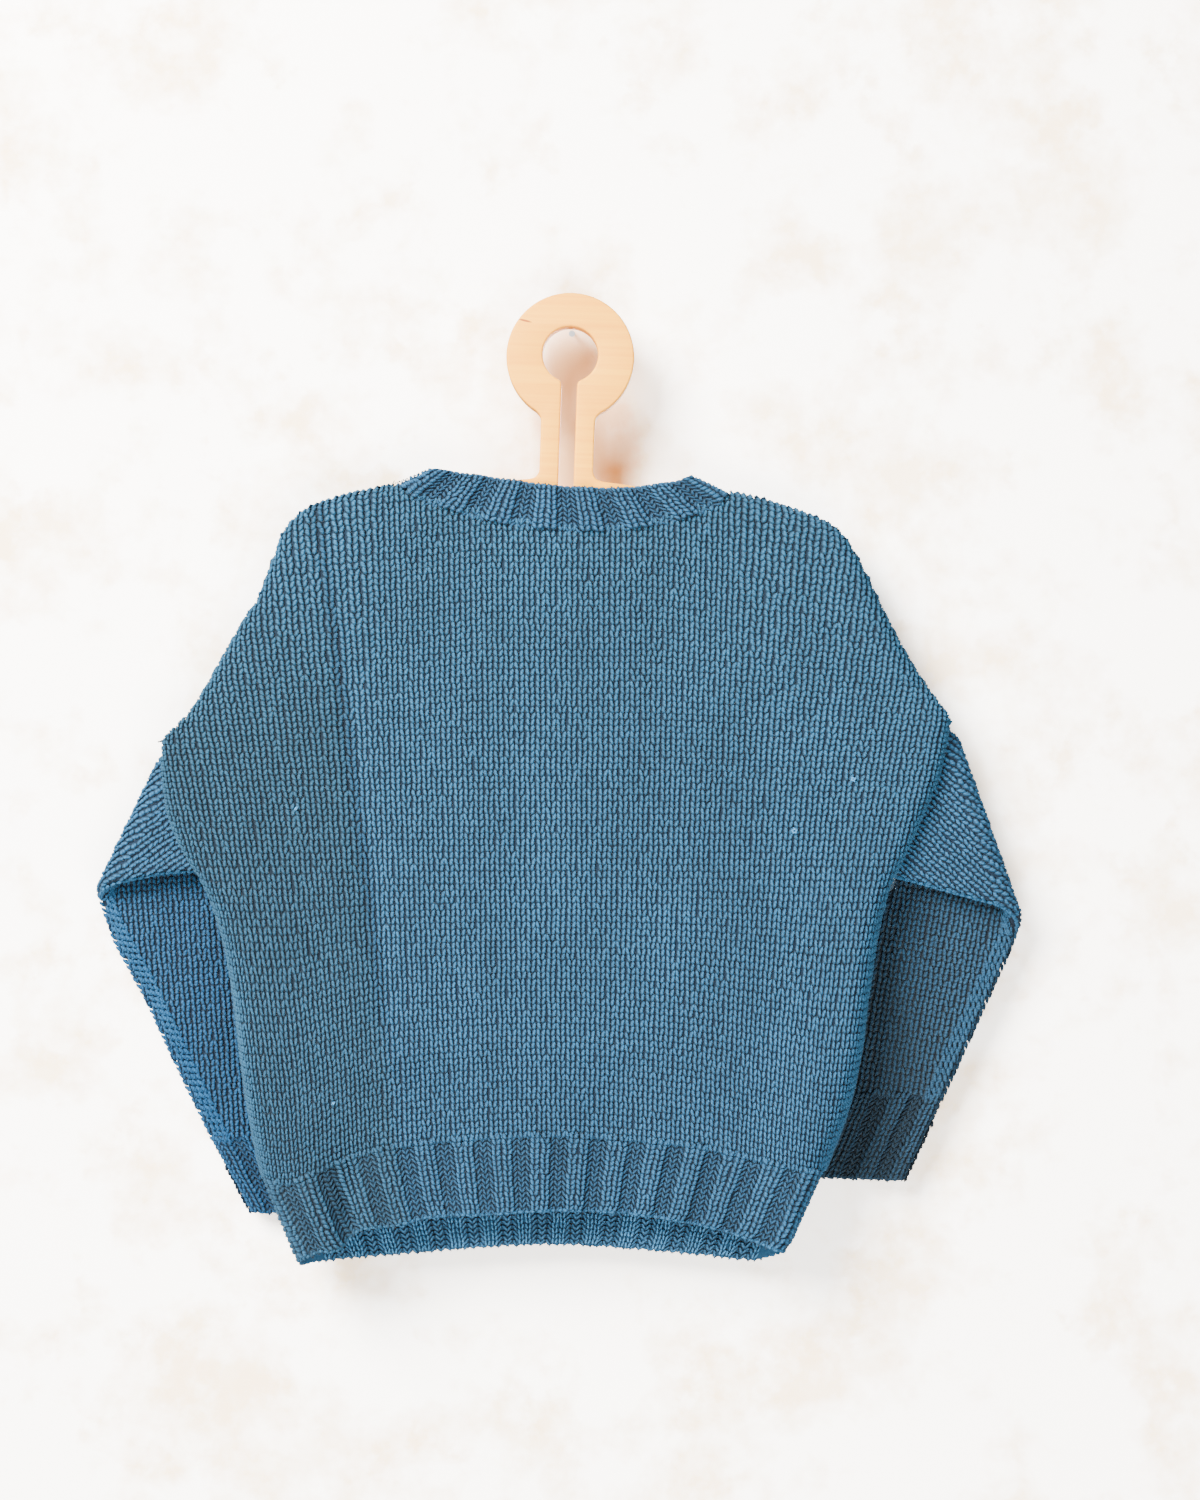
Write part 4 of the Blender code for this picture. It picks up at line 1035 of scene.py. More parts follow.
def knitting_tree():
    """Lays one kind of stitch on a guide, wale by wale and course by course."""
    w, given = open_tree("Knitting", (
        ("Guide", "Object", None), ("Stitch", "Object", None), ("Wales", "Int", 10), ("Courses", "Int", 10),
        ("First Wale", "Float", 0.0), ("First Course", "Float", 0.0), ("Repeat", "Float", 1.0),
        ("From", "Float", 0.0), ("To", "Float", 1.0), ("Border", "Float", 0.9),
        ("Unevenness", "Float", 0.05), ("Seed", "Int", 1), ("Wool", "Material", None)))
    wide = w.math("SUBTRACT", given["Wales"], 1.0)
    tall = w.math("SUBTRACT", given["Courses"], 1.0)
    lattice = w.add("GeometryNodeMeshGrid", {"Size X": wide, "Size Y": tall, "Vertices X": given["Wales"],
                                             "Vertices Y": given["Courses"]}).outputs["Mesh"]
    shift_x = w.plus(w.times(wide, 0.5), w.plus(given["First Wale"], 0.5))
    shift_y = w.plus(w.times(tall, 0.5), given["First Course"])
    laid = w.moved(lattice, Offset=w.vector(shift_x, shift_y))
    guide_mesh, stitch_mesh = w.mesh_in(given["Guide"]), w.mesh_in(given["Stitch"])
    knit = w.named("knit", "FLOAT_VECTOR")
    place = w.add("GeometryNodeInputPosition").outputs[0]
    mapped = w.vector_math("MULTIPLY", {0: place, 1: (1 / KNIT_SPAN, 1 / KNIT_SPAN, 0.0)})[0]

    def sampled(value, kind):
        return w.add("GeometryNodeSampleUVSurface", data_type=kind, inputs={
            "Mesh": guide_mesh, "Value": value, "Source UV Map": knit, "Sample UV": mapped}).outputs

    kept = sampled(w.named("keep", "FLOAT"), "FLOAT")
    wale, _, height = w.add("ShaderNodeSeparateXYZ", {0: place}).outputs
    phase = w.math("FLOORED_MODULO", wale, given["Repeat"])
    inside = w.times(w.math("GREATER_THAN", kept["Value"], given["Border"]),
                     w.math("GREATER_THAN", phase, given["From"]), w.math("LESS_THAN", phase, given["To"]),
                     kept["Is Valid"])
    left = w.without(laid, w.math("LESS_THAN", inside, 0.5))
    spread, seed = given["Unevenness"], given["Seed"]
    minus = w.times(spread, -1.0)
    nudge = w.random(w.vector(minus, minus), w.vector(spread, spread), seed, "FLOAT_VECTOR")
    nudged = w.moved(left, Offset=nudge)
    small, large = w.math("SUBTRACT", 1.0, spread), w.plus(1.0, spread)
    smallest = w.vector(small, small, w.math("SUBTRACT", small, spread))
    largest = w.vector(large, large, w.plus(large, spread))
    size = w.random(smallest, largest, w.plus(seed, 7.0), "FLOAT_VECTOR")
    turn = w.vector(z=w.random(minus, spread, w.plus(seed, 13.0)))
    rows = w.instances(nudged, stitch_mesh, turn, size)
    real = w.add("GeometryNodeRealizeInstances", {"Geometry": toned(w, rows, 0.0, seed)}).outputs[0]
    ground = sampled(place, "FLOAT_VECTOR")
    out = sampled(w.named("out", "FLOAT_VECTOR"), "FLOAT_VECTOR")
    lift = w.vector_math("SCALE", {0: out["Value"], "Scale": height})[0]
    spot = w.vector_math("ADD", {0: ground["Value"], 1: lift})[0]
    bent = w.moved(w.without(real, w.math("LESS_THAN", ground["Is Valid"], 0.5)), Position=spot)
    ends = w.add("GeometryNodeInputMeshEdgeVertices").outputs
    length = w.vector_math("DISTANCE", {0: ends["Position 1"], 1: ends["Position 2"]})["Value"]
    trimmed = w.without(bent, w.math("GREATER_THAN", length, LONGEST_EDGE * MM), "EDGE")
    return close_tree(w, given, trimmed)


def edging_tree():
    """Lays a row of small bumps along a path, each one turned to the path's way."""
    w, given = open_tree("Edging", (
        ("Path", "Object", None), ("Bump", "Object", None), ("Spacing", "Float", 0.0035),
        ("Size", "Float", 1.0), ("Unevenness", "Float", 0.1), ("Seed", "Int", 1), ("Wool", "Material", None)))
    path = w.mesh_in(given["Path"])
    spots = w.add("GeometryNodeCurveToPoints", {"Curve": path, "Length": given["Spacing"]},
                  mode="LENGTH").outputs
    spread, seed = given["Unevenness"], given["Seed"]
    low = w.times(given["Size"], w.math("SUBTRACT", 1.0, spread))
    high = w.times(given["Size"], w.plus(1.0, spread))
    row = w.instances(spots["Points"], w.mesh_in(given["Bump"]), spots["Rotation"], w.random(low, high, seed))
    return close_tree(w, given, toned(w, row, 0.3, seed))


def add_layer(thing, tree, values):
    """One more modifier on thing, with its inputs set by their identifiers."""
    modifier = thing.modifiers.new(tree.name, "NODES")
    modifier.node_group = tree
    keys = {item.name: item.identifier for item in tree.interface.items_tree
            if item.item_type == "SOCKET" and item.in_out == "INPUT"}
    for name, value in values.items():
        modifier[keys[name]] = value
    return modifier


def evaluated_mesh(thing):
    graph = bpy.context.evaluated_depsgraph_get()
    graph.update()
    return bpy.data.meshes.new_from_object(thing.evaluated_get(graph))


def plain_mesh(thing, helpers):
    """Turn what a thing's modifiers make into its own mesh, and remove them and their helpers."""
    data, old = evaluated_mesh(thing), thing.data
    thing.modifiers.clear()
    thing.data = data
    bpy.data.meshes.remove(old)
    data.name = thing.name
    clear_away(*helpers)
    return thing


def clear_away(*things):
    for thing in things:
        data = thing.data
        bpy.data.objects.remove(thing)
        (bpy.data.meshes if isinstance(data, bpy.types.Mesh) else bpy.data.curves).remove(data)


class Layer:
    """One kind of stitch on one cloth.

    It takes a span of wales out of every repeat. It starts some courses early, stops some short, and
    keeps off the cloth's border as far as border, a share, says.
    """

    def __init__(self, cloth, stitch, span=(0, 1), repeat=1, depth=SHELL_DROP, border=0.93, early=0,
                 short=0):
        self.cloth, self.stitch, self.span, self.repeat = cloth, stitch, span, repeat
        self.depth, self.border, self.early, self.short = depth, border, early, short


def rib_layers(cloth, knit, purl, **more):
    """Two knit wales and two purl ones in turn."""
    return [Layer(cloth, knit, (0, 2), RIB_WALES, **more), Layer(cloth, purl, (2, 4), RIB_WALES, **more)]


def stitched(name, layers, wool, seed):
    """All the stitches of one piece."""
    thing = new_object(name, bpy.data.meshes.new("yarn"))
    guides = []
    for number, layer in enumerate(layers):
        sheet = guide(layer.cloth, layer.depth)
        guides.append(sheet)
        first = np.floor(layer.cloth.knit.min(axis=(0, 1))) - (0, layer.early)
        last = np.ceil(layer.cloth.knit.max(axis=(0, 1)))
        add_layer(thing, KIT["tree"], {
            "Guide": sheet, "Stitch": layer.stitch, "Wales": int(last[0] - first[0]) + 1,
            "Courses": int(last[1] - first[1]) + 1 - layer.short, "First Wale": float(first[0]),
            "First Course": float(first[1]) + FOOT_RISE, "Repeat": float(layer.repeat),
            "From": float(layer.span[0]), "To": float(layer.span[1]), "Border": layer.border,
            "Unevenness": bpy.context.scene.sweater_knit.unevenness, "Seed": seed + 31 * number,
            "Wool": wool})
    return plain_mesh(thing, guides)


# Finishes


class Finish(Wiring):
    """A new material, its Principled shader, and where it is read: on the piece's own coordinates."""

    def __init__(self, name):
        self.material = bpy.data.materials.new(name)
        self.material.use_nodes = True
        super().__init__(self.material.node_tree)
        self.shader = self.tree.nodes["Principled BSDF"]
        self.where = self.add("ShaderNodeTexCoord").outputs["Object"]

    def set(self, **values):
        """Set or link inputs of the shader, an underscore standing for a space."""
        for name, value in values.items():
            self.feed(self.shader.inputs[name.replace("_", " ")], value)

    def noise(self, where, scale, detail=2.0, rough=0.5):
        return self.add("ShaderNodeTexNoise", {"Vector": where, "Scale": scale, "Detail": detail,
                                               "Roughness": rough}).outputs["Fac"]

    def mapping(self, where, **inputs):
        return self.add("ShaderNodeMapping", {"Vector": where, **inputs}).outputs[0]

    def attribute(self, name):
        return self.add("ShaderNodeAttribute", attribute_name=name).outputs["Fac"]

    def split(self, vector):
        return self.add("ShaderNodeSeparateXYZ", {0: vector}).outputs

    def blend(self, share, first, second, way="MIX"):
        node = self.add("ShaderNodeMix", {0: share}, data_type="RGBA", blend_type=way)
        for key, value in ((6, first), (7, second)):
            self.feed(node.inputs[key], value if isinstance(value, bpy.types.NodeSocket) else (*value, 1.0))
        return node.outputs[2]

    def remap(self, value, low, high, new_low=0.0, new_high=1.0):
        ends = {1: low, 2: high, 3: new_low, 4: new_high}
        return self.add("ShaderNodeMapRange", {0: value, **ends}).outputs[0]

    def offset(self, value, start, size):
        """How far a length is from start, in units of size; both are millimetres."""
        return self.math("DIVIDE", self.math("SUBTRACT", value, start * MM), size * MM)

    def far(self, first, second):
        """Squared distance from the middle."""
        return self.plus(self.times(first, first), self.times(second, second))

    def bump(self, height, strength, distance):
        node = self.add("ShaderNodeBump", {"Height": height, "Strength": strength, "Distance": distance})
        self.set(Normal=node.outputs[0])


def shaded(colour, shares):
    """A colour with its channels multiplied."""
    return tuple(c * k for c, k in zip(colour, shares))


def wool_material(name, depth=0.0, crease_shaded=False, behind=None, from_depth=3.0):
    """Dyed wool, with painted shade between the stitches, painted light on their crests, and a painted
    highlight of loose fibres on the crests.

    The back has painted shade to the left of its long crease, a painted dark line in the crease, and a
    warmer tint towards the top. The forearms, which hang behind, get painted shade, and the inside of the
    front welt gets painted light: behind gives that tint, which comes in from from_depth on.
    """
    knit = bpy.context.scene.sweater_knit
    w = Finish(name)
    rise, tone, twist = [w.attribute(label) for label in ("rise", "tone", "twist")]
    # the yarn's twist: stripes of painted light and shade along its plies, and bumps
    strand = w.math("SINE", w.times(twist, 2 * pi))
    # painted deep shade between the stitches, painted light on their crests
    colour = w.blend(w.remap(rise, 0.2, 0.75, 0.0, 1.0 - depth), knit.shade_colour, knit.yarn_colour)
    # painted highlight: paler loose fibres where the crests catch the light
    fibres = w.noise(w.where, 1500.0, 3.0, 0.7)
    colour = w.blend(w.times(w.remap(fibres, 0.45, 0.75, 0.0, 0.5), rise), colour, knit.fibre_highlight_colour)
    cloud = w.remap(w.noise(w.where, 16.0, 3.0), 0.3, 0.7, 0.90, 1.10)
    streaks = w.noise(w.mapping(w.where, Scale=(34.0, 1.0, 6.0)), 1.0)
    light = w.times(w.remap(tone, 0.0, 1.0, 0.88, 1.12), cloud, w.remap(strand, -1.0, 1.0, 0.74, 1.16),
                    w.remap(streaks, 0.3, 0.7, 0.90, 1.10))
    light = w.add("ShaderNodeCombineColor", {0: light, 1: light, 2: light}).outputs[0]
    colour = w.blend(1.0, colour, light, "MULTIPLY")
    x, y, z = w.split(w.where)
    tints = []
    # painted shade on the forearms, or painted light on the inside of the front welt, from from_depth on
    if behind:
        tints.append((w.remap(y, from_depth * MM, (from_depth + TINT_REACH) * MM), behind))
    # painted shade left of the long crease, a warmer tint towards the top and a painted dark line in the
    # crease
    if crease_shaded:
        beyond = w.plus(w.plus(x, CREASE[0] * MM), w.times(w.plus(z, CREASE[1] * MM), CREASE[2]))
        left = w.times(w.remap(beyond, -0.004, 0.001, 1.0, 0.0), w.remap(z, -0.20, -0.12, 1.0, 0.0))
        near = w.remap(w.math("ABSOLUTE", beyond), 0.0012, 0.0045, 0.85, 0.0)
        line = w.times(near, w.remap(z, -0.36, -0.30))
        tints += [(left, LEFT_OF_CREASE_SHADE), (w.remap(z, -0.42, -0.12), TOP_TINT), (line, CREASE_SHADE)]
    for share, tint in tints:
        colour = w.blend(share, colour, tint, "MULTIPLY")
    w.set(Base_Color=colour, Roughness=0.92, Specular_IOR_Level=0.25, Sheen_Weight=0.05,
          Sheen_Roughness=0.5, Sheen_Tint=(0.35, 0.70, 0.95, 1.0))
    w.bump(w.plus(w.times(strand, 0.35), w.noise(w.where, 2600.0, 2.0, 0.6)), 0.6, 0.0003)
    return w.material


def plywood_material():
    """Birch plywood: a pale face with fine level grain, and plies that show along the edges."""
    wood = bpy.context.scene.sweater_hanger
    w = Finish("birch_plywood")
    turned = w.mapping(w.where, Rotation=(0.0, -HANGER_TILT, 0.0))
    grain_scale = 1.0 / wood.grain_spacing
    grain = w.noise(w.mapping(turned, Scale=(9.0, grain_scale * 0.3, grain_scale)), 1.0, 4.0, 0.6)
    broad = w.noise(w.mapping(turned, Scale=(6.0, 20.0, 40.0)), 1.0)
    pale = tuple(min(c * 1.06, 1.0) for c in wood.face_colour)
    face = w.blend(w.remap(grain, 0.35, 0.68), pale, shaded(wood.face_colour, (0.90, 0.82, 0.74)))
    face = w.blend(w.remap(broad, 0.4, 0.7, 0.0, 0.22), face, wood.edge_colour)
    x, y, z = w.split(turned)
    along = w.offset(x, STREAK[0], STREAK_SIZE[0])
    level = w.math("SUBTRACT", z, w.times(along, STREAK_SLANT * MM))
    across = w.offset(level, STREAK[1], STREAK_SIZE[1])
    face = w.blend(w.remap(w.far(along, across), 0.4, 1.3, 1.0, 0.0), face, STREAK_COLOUR)
    layer = w.math("PINGPONG", w.plus(y, PLY / 2 * MM), PLY / 5 * MM)
    plies = w.blend(w.remap(layer, 0.0006, 0.0014), wood.edge_colour, wood.face_colour)
    colour = w.blend(w.remap(w.math("ABSOLUTE", y), 0.0040, 0.0043), plies, face)
    w.set(Base_Color=colour, Roughness=w.remap(grain, 0.3, 0.7, 0.42, 0.56), Specular_IOR_Level=0.15)
    w.bump(grain, 0.25, 0.0002)
    return w.material


def plaster_materials():
    """Pale trowelled plaster, faintly blotched, for the floor and for the wall, with patches of painted
    shadow behind the hanger.

    The wall is one-sided: from behind it lets the view through.
    """
    stage = bpy.context.scene.sweater_stage
    made = []
    for name in ("pale_plaster", "pale_plaster_wall"):
        w = Finish(name)
        blotch = w.noise(w.where, 20.0, 6.0, 0.65)
        fine = w.noise(w.where, 55.0, 4.0, 0.6)
        warm = shaded(stage.wall_colour, BLOTCH)
        colour = w.blend(w.remap(blotch, 0.48, 0.66), stage.wall_colour, warm)
        dark = w.remap(w.times(blotch, fine), 0.30, 0.40, 0.0, 0.5)
        colour = w.blend(dark, colour, shaded(warm, DARK_BLOTCH))
        x, _, z = w.split(w.where)
        uneven = w.times(w.math("SUBTRACT", fine, 0.5), 0.7)
        # patches of painted shadow behind the hanger
        for centre_x, centre_z, half_width, half_height, strength in WALL_SHADOW_PATCHES:
            away = w.far(w.offset(x, centre_x, half_width), w.offset(z, centre_z, half_height))
            colour = w.blend(w.remap(w.plus(away, uneven), 0.3, 1.5, strength, 0.0), colour, PAINTED_SHADOW)
        bright = w.vector_math("SCALE", {0: colour, "Scale": stage.wall_gain})[0]
        w.tree.nodes.remove(w.shader)
        w.shader = w.add("ShaderNodeBsdfDiffuse", {"Color": bright, "Roughness": 0.5})
        w.bump(fine, 0.12, 0.002)
        shown = w.shader.outputs[0]
        if made:
            behind = w.add("ShaderNodeNewGeometry").outputs["Backfacing"]
            clear = w.add("ShaderNodeBsdfTransparent").outputs[0]
            shown = w.add("ShaderNodeMixShader", {0: behind, 1: shown, 2: clear}).outputs[0]
        w.feed(w.tree.nodes["Material Output"].inputs["Surface"], shown)
        made.append(w.material)
    return made


# Building steps


KIT = {}


def open_kit():
    """Trees, stitch patterns and wools that the pieces share."""
    if not KIT:
        knit = bpy.context.scene.sweater_knit
        # the wool for the front welt's inside and the pills has painted light all over
        KIT.update(tree=knitting_tree(), edging=edging_tree(), knit=knit_stitch(knit),
                   purl=purl_stitch(knit), low_purl=purl_stitch(knit, 0.6), bead=yarn_bead(),
                   inside_wool=wool_material("teal_wool_inside", behind=INSIDE_PAINTED_LIGHT, from_depth=-40.0))
        for rib, depth in (("", 0.0), ("_rib", RIB_DEPTH)):
            KIT["plain" + rib] = wool_material("teal_wool" + rib, depth)
            # the back's wool has painted shade by its long crease
            KIT["back" + rib] = wool_material("teal_wool_back" + rib, depth, True)
            # each forearm's wool has painted shade where it lies behind
            for side, tint in FOREARM_SHADES.items():
                KIT[side + rib] = wool_material(f"teal_wool{rib}_{side}", depth, False, tint)
    return KIT


def close_kit():
    """Remove the patterns, which aren't part of the garment."""
    clear_away(*(KIT.pop(key) for key in ("knit", "purl", "low_purl", "bead")))
    for key in ("tree", "edging"):
        bpy.data.node_groups.remove(KIT.pop(key))


def yarn_bead():
    """A short twist of yarn, pointed at both ends, leaning across its path."""
    mesh = bmesh.new()
    layer = mesh.verts.layers.float.new("rise")
    turns = mesh.verts.layers.float.new("twist")
    bmesh.ops.create_icosphere(mesh, subdivisions=1, radius=1.0)
    for vertex in mesh.verts:
        vertex.co = Vector((vertex.co.x * 0.95, vertex.co.y * 0.95, vertex.co.z * 2.1)) * MM
        vertex[turns] = (vertex.co.z + vertex.co.x * 0.7) / MM
        vertex.co.x += vertex.co.z * 0.45
        # the beads take most of the painted light
        vertex[layer] = 0.85
    return new_object("bead", mesh_of(mesh, "bead"))


def add_spline(curve, points, closed):
    """Add a polyline through points in millimetres to a curve."""
    spline = curve.splines.new("POLY")
    spline.points.add(len(points) - 1)
    for target, point in zip(spline.points, points):
        place = (*np.asarray(point) * MM, 0.0)      # a flat outline has no third number
        target.co = (*place[:3], 1.0)
    spline.use_cyclic_u = closed


def path_object(points, closed=False):
    """A guide curve through points in millimetres."""
    curve = bpy.data.curves.new("path", "CURVE")
    curve.dimensions = "3D"
    add_spline(curve, points, closed)
    return new_object("path", curve)


def edged(name, paths, wool, seed, spacing=3.3, size=1.0):
    """Rows of small twists along some paths, as one piece."""
    thing = new_object(name, bpy.data.meshes.new("yarn"))
    routes = [path_object(points, closed) for points, closed in paths]
    for number, route in enumerate(routes):
        add_layer(thing, KIT["edging"], {"Path": route, "Bump": KIT["bead"], "Spacing": spacing * MM,
                                         "Size": size, "Unevenness": EDGE_UNEVENNESS, "Seed": seed + number,
                                         "Wool": wool})
    return plain_mesh(thing, routes)


def dress(node, shell, extras):
    """Put the finished cloth in its node's place: hide the node and attach the pieces to the body."""
    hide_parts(node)
    for piece in (shell, *extras):
        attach(piece, BODY)


def body_shell(name, cloth, front, wool):
    """The ground of a body piece, kept on its own side of the middle."""
    outer, inner = cloth.at(-SHELL_DROP), cloth.at(-SHELL_DROP - SHELL_THICKNESS)
    for sheet in (outer, inner):
        sheet[..., 1] = np.maximum(sheet[..., 1], 0.2) if front else np.minimum(sheet[..., 1], -0.2)
    return wall(name, outer, inner, False, wool)


def tube_shell(name, cloths, wool):
    """The ground of a flattened tube."""
    sheets = []
    for depth in (SHELL_DROP, SHELL_DROP + SHELL_THICKNESS):
        near, far = cloths[0].at(-depth), cloths[1].at(-depth)
        for k in (0, -1):
            near[:, k] = (near[:, k] + far[:, k]) / 2
        sheets.append(np.concatenate((near, far[:, ::-1][:, 1:-1]), axis=1))
    return wall(name, *sheets, True, wool)


def pills(name, cloth, wool, seed):
    """A few small balls of loose fibre on the cloth."""
    paths = []
    for x, z, radius in PILLS:
        away = np.hypot(cloth.points[..., 0] - x, cloth.points[..., 2] - z)
        nearest = np.unravel_index(away.argmin(), away.shape)
        turn = np.linspace(0, 2 * pi, 7)[:-1]
        ring = np.column_stack((radius * np.cos(turn), np.zeros(6), radius * np.sin(turn)))
        paths.append((ring + (x, cloth.points[nearest][1] - PILL_HEIGHT, z), True))
    return edged(name, paths, wool, seed, 1.1, 0.55)


class SWEATER_OT_body(bpy.types.Operator):
    """Knit the back and front panels in stockinette."""

    bl_idname = "sweater.body"
    bl_label = "Knit Body"

    def execute(self, context):
        kit = open_kit()
        for node, front, seed, wool in (("back_panel", False, 11, kit["back"]),
                                        ("front_panel", True, 12, kit["plain"])):
            cloth = panel_cloth(front)
            shell = body_shell(node + "_cloth", cloth, front, wool)
            extras = [stitched(node + "_stitches", [Layer(cloth, kit["knit"], border=0.97)], wool, seed)]
            if not front:
                # the pills take the wool with painted light
                extras.append(pills(node + "_pills", cloth, kit["inside_wool"], seed + 4))
            dress(node, shell, extras)
        return {"FINISHED"}


class SWEATER_OT_welts(bpy.types.Operator):
    """Knit the two ribbed welts, with the inside of the front one, which shows under the back's hem."""

    bl_idname = "sweater.welts"
    bl_label = "Knit Welts"

    def execute(self, context):
        kit = open_kit()
        for node, hem, front, seed, wool in (("back_hem_rib", BACK_HEM, False, 21, kit["back_rib"]),
                                             ("front_hem_rib", FRONT_HEM, True, 22, kit["plain_rib"])):
            cloth = welt_cloth(hem, front)
            shell = body_shell(node + "_cloth", cloth, front, wool)
            extras = [stitched(node + "_stitches", rib_layers(cloth, kit["knit"], kit["purl"]), wool, seed)]
            if front:
                inside = welt_cloth(hem, front, inside=True).part(slice(8, -8))
                layers = rib_layers(inside, kit["low_purl"], kit["knit"], depth=0.6, short=1)
                # the welt's inside takes the wool with painted light, as it lies in shade
                extras.append(stitched(node + "_inside", layers, kit["inside_wool"], seed + 62))
            extras.append(edged(node + "_edge", [(cloth.at(-0.9)[0, 2:-2], False)], wool, seed))
            dress(node, shell, extras)
        return {"FINISHED"}


class SWEATER_OT_neckband(bpy.types.Operator):
    """Knit the ribbed neckband."""

    bl_idname = "sweater.neckband"
    bl_label = "Knit Neckband"

    def execute(self, context):
        kit = open_kit()
        wool = kit["plain_rib"]
        cloth = neckband_cloth()
        ground = NECK_LIFT - SHELL_DROP
        inner = cloth.at(-SHELL_DROP - SHELL_THICKNESS)
        shell = wall("neckband_cloth", cloth.at(ground), inner, True, wool)
        total = round(cloth.knit[0, -1, 0] / RIB_WALES) * RIB_WALES
        strip = cloth.part(np.arange(cloth.knit.shape[1] + 1) % cloth.knit.shape[1])
        strip.knit[:, -1, 0] += total
        layers = rib_layers(strip, kit["knit"], kit["purl"], border=0.7, early=1, short=1, depth=-ground)
        stitches = stitched("neckband_stitches", layers, wool, 31)
        edge = edged("neckband_edge", [(cloth.at(-1.0)[-1], True)], wool, 33, 3.0, 0.85)
        dress("neckband", shell, [stitches, edge])
        return {"FINISHED"}


class SWEATER_OT_sleeves(bpy.types.Operator):
    """Knit both sleeves, folded behind at the elbow, and their cuffs."""

    bl_idname = "sweater.sleeves"
    bl_label = "Knit Sleeves"

    def execute(self, context):
        kit = open_kit()
        for name, seed in (("left", 41), ("right", 51)):
            fold, side, edges, cuff = sleeve_edges(name)
            wool, rib_wool = kit[name], kit[name + "_rib"]
            cloths = tube_cloths(fold, edges, side)
            shell = tube_shell(f"sleeve_{name}_cloth", cloths, wool)
            layers = [Layer(cloth, kit["knit"], border=0.97) for cloth in cloths]
            stitches = stitched(f"sleeve_{name}_stitches", layers, wool, seed)
            seam = cloths[1].at(0.2)[SLEEVE_RINGS[0] + SLEEVE_RINGS[1] - 3:]
            rim = (cloths[0].points[:, 0] + cloths[1].points[:, 0]) / 2
            paths = [(rim, False)] + [(seam[:, column], False) for column in SEAM_COLUMNS]
            bumps = edged(f"sleeve_{name}_seam", paths, wool, seed + 2, 3.4, 1.1)
            dress("sleeve_" + name, shell, [stitches, bumps])
            cloths = tube_cloths(fold, cuff, side, ribbed=True)
            shell = tube_shell(f"cuff_{name}_cloth", cloths, rib_wool)
            layers = sum((rib_layers(cloth, kit["knit"], kit["purl"]) for cloth in cloths), [])
            stitches = stitched(f"cuff_{name}_stitches", layers, rib_wool, seed + 4)
            rims = [(cloth.at(-1.0)[-1], False) for cloth in cloths]
            edge = edged(f"cuff_{name}_edge", rims, rib_wool, seed + 6)
            dress("cuff_" + name, shell, [stitches, edge])
        return {"FINISHED"}


def arc(centre, radius, start, end, count):
    """Points of an arc, its angles in degrees."""
    return [(centre[0] + radius * cos(radians(a)), centre[1] + radius * sin(radians(a)))
            for a in np.linspace(start, end, count)]


def mirrored(points):
    """The same outline carried on up the other side."""
    return points + [(-x, z) for x, z in points[::-1] if x > 0.01]


class SWEATER_OT_hanger(bpy.types.Operator):
    """Cut the plywood hanger: a ring with a keyhole slot, a stem and two sloping arms."""

    bl_idname = "sweater.hanger"
    bl_label = "Cut Hanger"

    def execute(self, context):
        half_stem = STEM_WIDTH / 2
        joint = np.degrees(np.arcsin((half_stem + RING_NECK_REACH) / RING_OUTER))
        right = arc(RING_CENTRE, RING_OUTER, 90, -90 + joint, 46)
        right += [(half_stem + x, RING_CENTRE[1] + z) for x, z in RING_FILLET]
        right += [(half_stem + x, z) for x, z in STEM_FILLET]
        right += [ARM_START, *ARM_TOP]
        right += arc((ARM_REACH - ARM_TIP_RADIUS, ARM_END - ARM_TIP_DROP), ARM_TIP_RADIUS, 60, -90, 12)
        right += ARM_UNDERSIDE
        curve = bpy.data.curves.new("outline", "CURVE")
        curve.dimensions = "2D"
        curve.fill_mode = "BOTH"
        curve.extrude = (PLY / 2 - PLY_ROUNDING) * MM
        curve.bevel_depth = PLY_ROUNDING * MM
        curve.bevel_resolution = 2
        curve.offset = -PLY_ROUNDING * MM
        add_spline(curve, mirrored(right), True)
        half_slot = SLOT_WIDTH / 2
        mouth = np.degrees(np.arcsin((half_slot + MOUTH_REACH) / RING_HOLE))
        hole = arc(HOLE_CENTRE, RING_HOLE, 90, -90 + mouth, 36)
        hole += [(half_slot + x, HOLE_CENTRE[1] + z) for x, z in MOUTH_FILLET]
        hole += arc((0, SLOT_END), half_slot, 0, -90, 10)
        add_spline(curve, mirrored(hole), True)
        board = new_object("outline", curve)
        board.rotation_euler = (pi / 2, HANGER_TILT, 0)
        data = evaluated_mesh(board)
        data.transform(board.matrix_world)
        clear_away(board)
        mesh = bmesh.new()
        mesh.from_mesh(data)
        bmesh.ops.remove_doubles(mesh, verts=mesh.verts, dist=0.00001)
        bmesh.ops.recalc_face_normals(mesh, faces=mesh.faces)
        mesh.to_mesh(data)
        mesh.free()
        data.shade_smooth()
        data.set_sharp_from_angle(angle=radians(38))
        data.materials.clear()
        data.materials.append(plywood_material())
        piece = new_object("hanger_board", data)
        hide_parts("hanger")
        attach(piece, BODY)
        return {"FINISHED"}


def room_side(name, corners, material, unseen):
    """A flat side of the room; unseen names the kinds of ray that pass it by."""
    data = bpy.data.meshes.new(name)
    data.from_pydata(corners, [], [(0, 1, 2, 3)])
    data.materials.append(material)
    thing = new_object(name, data)
    for ray in unseen:
        setattr(thing, "visible_" + ray, False)


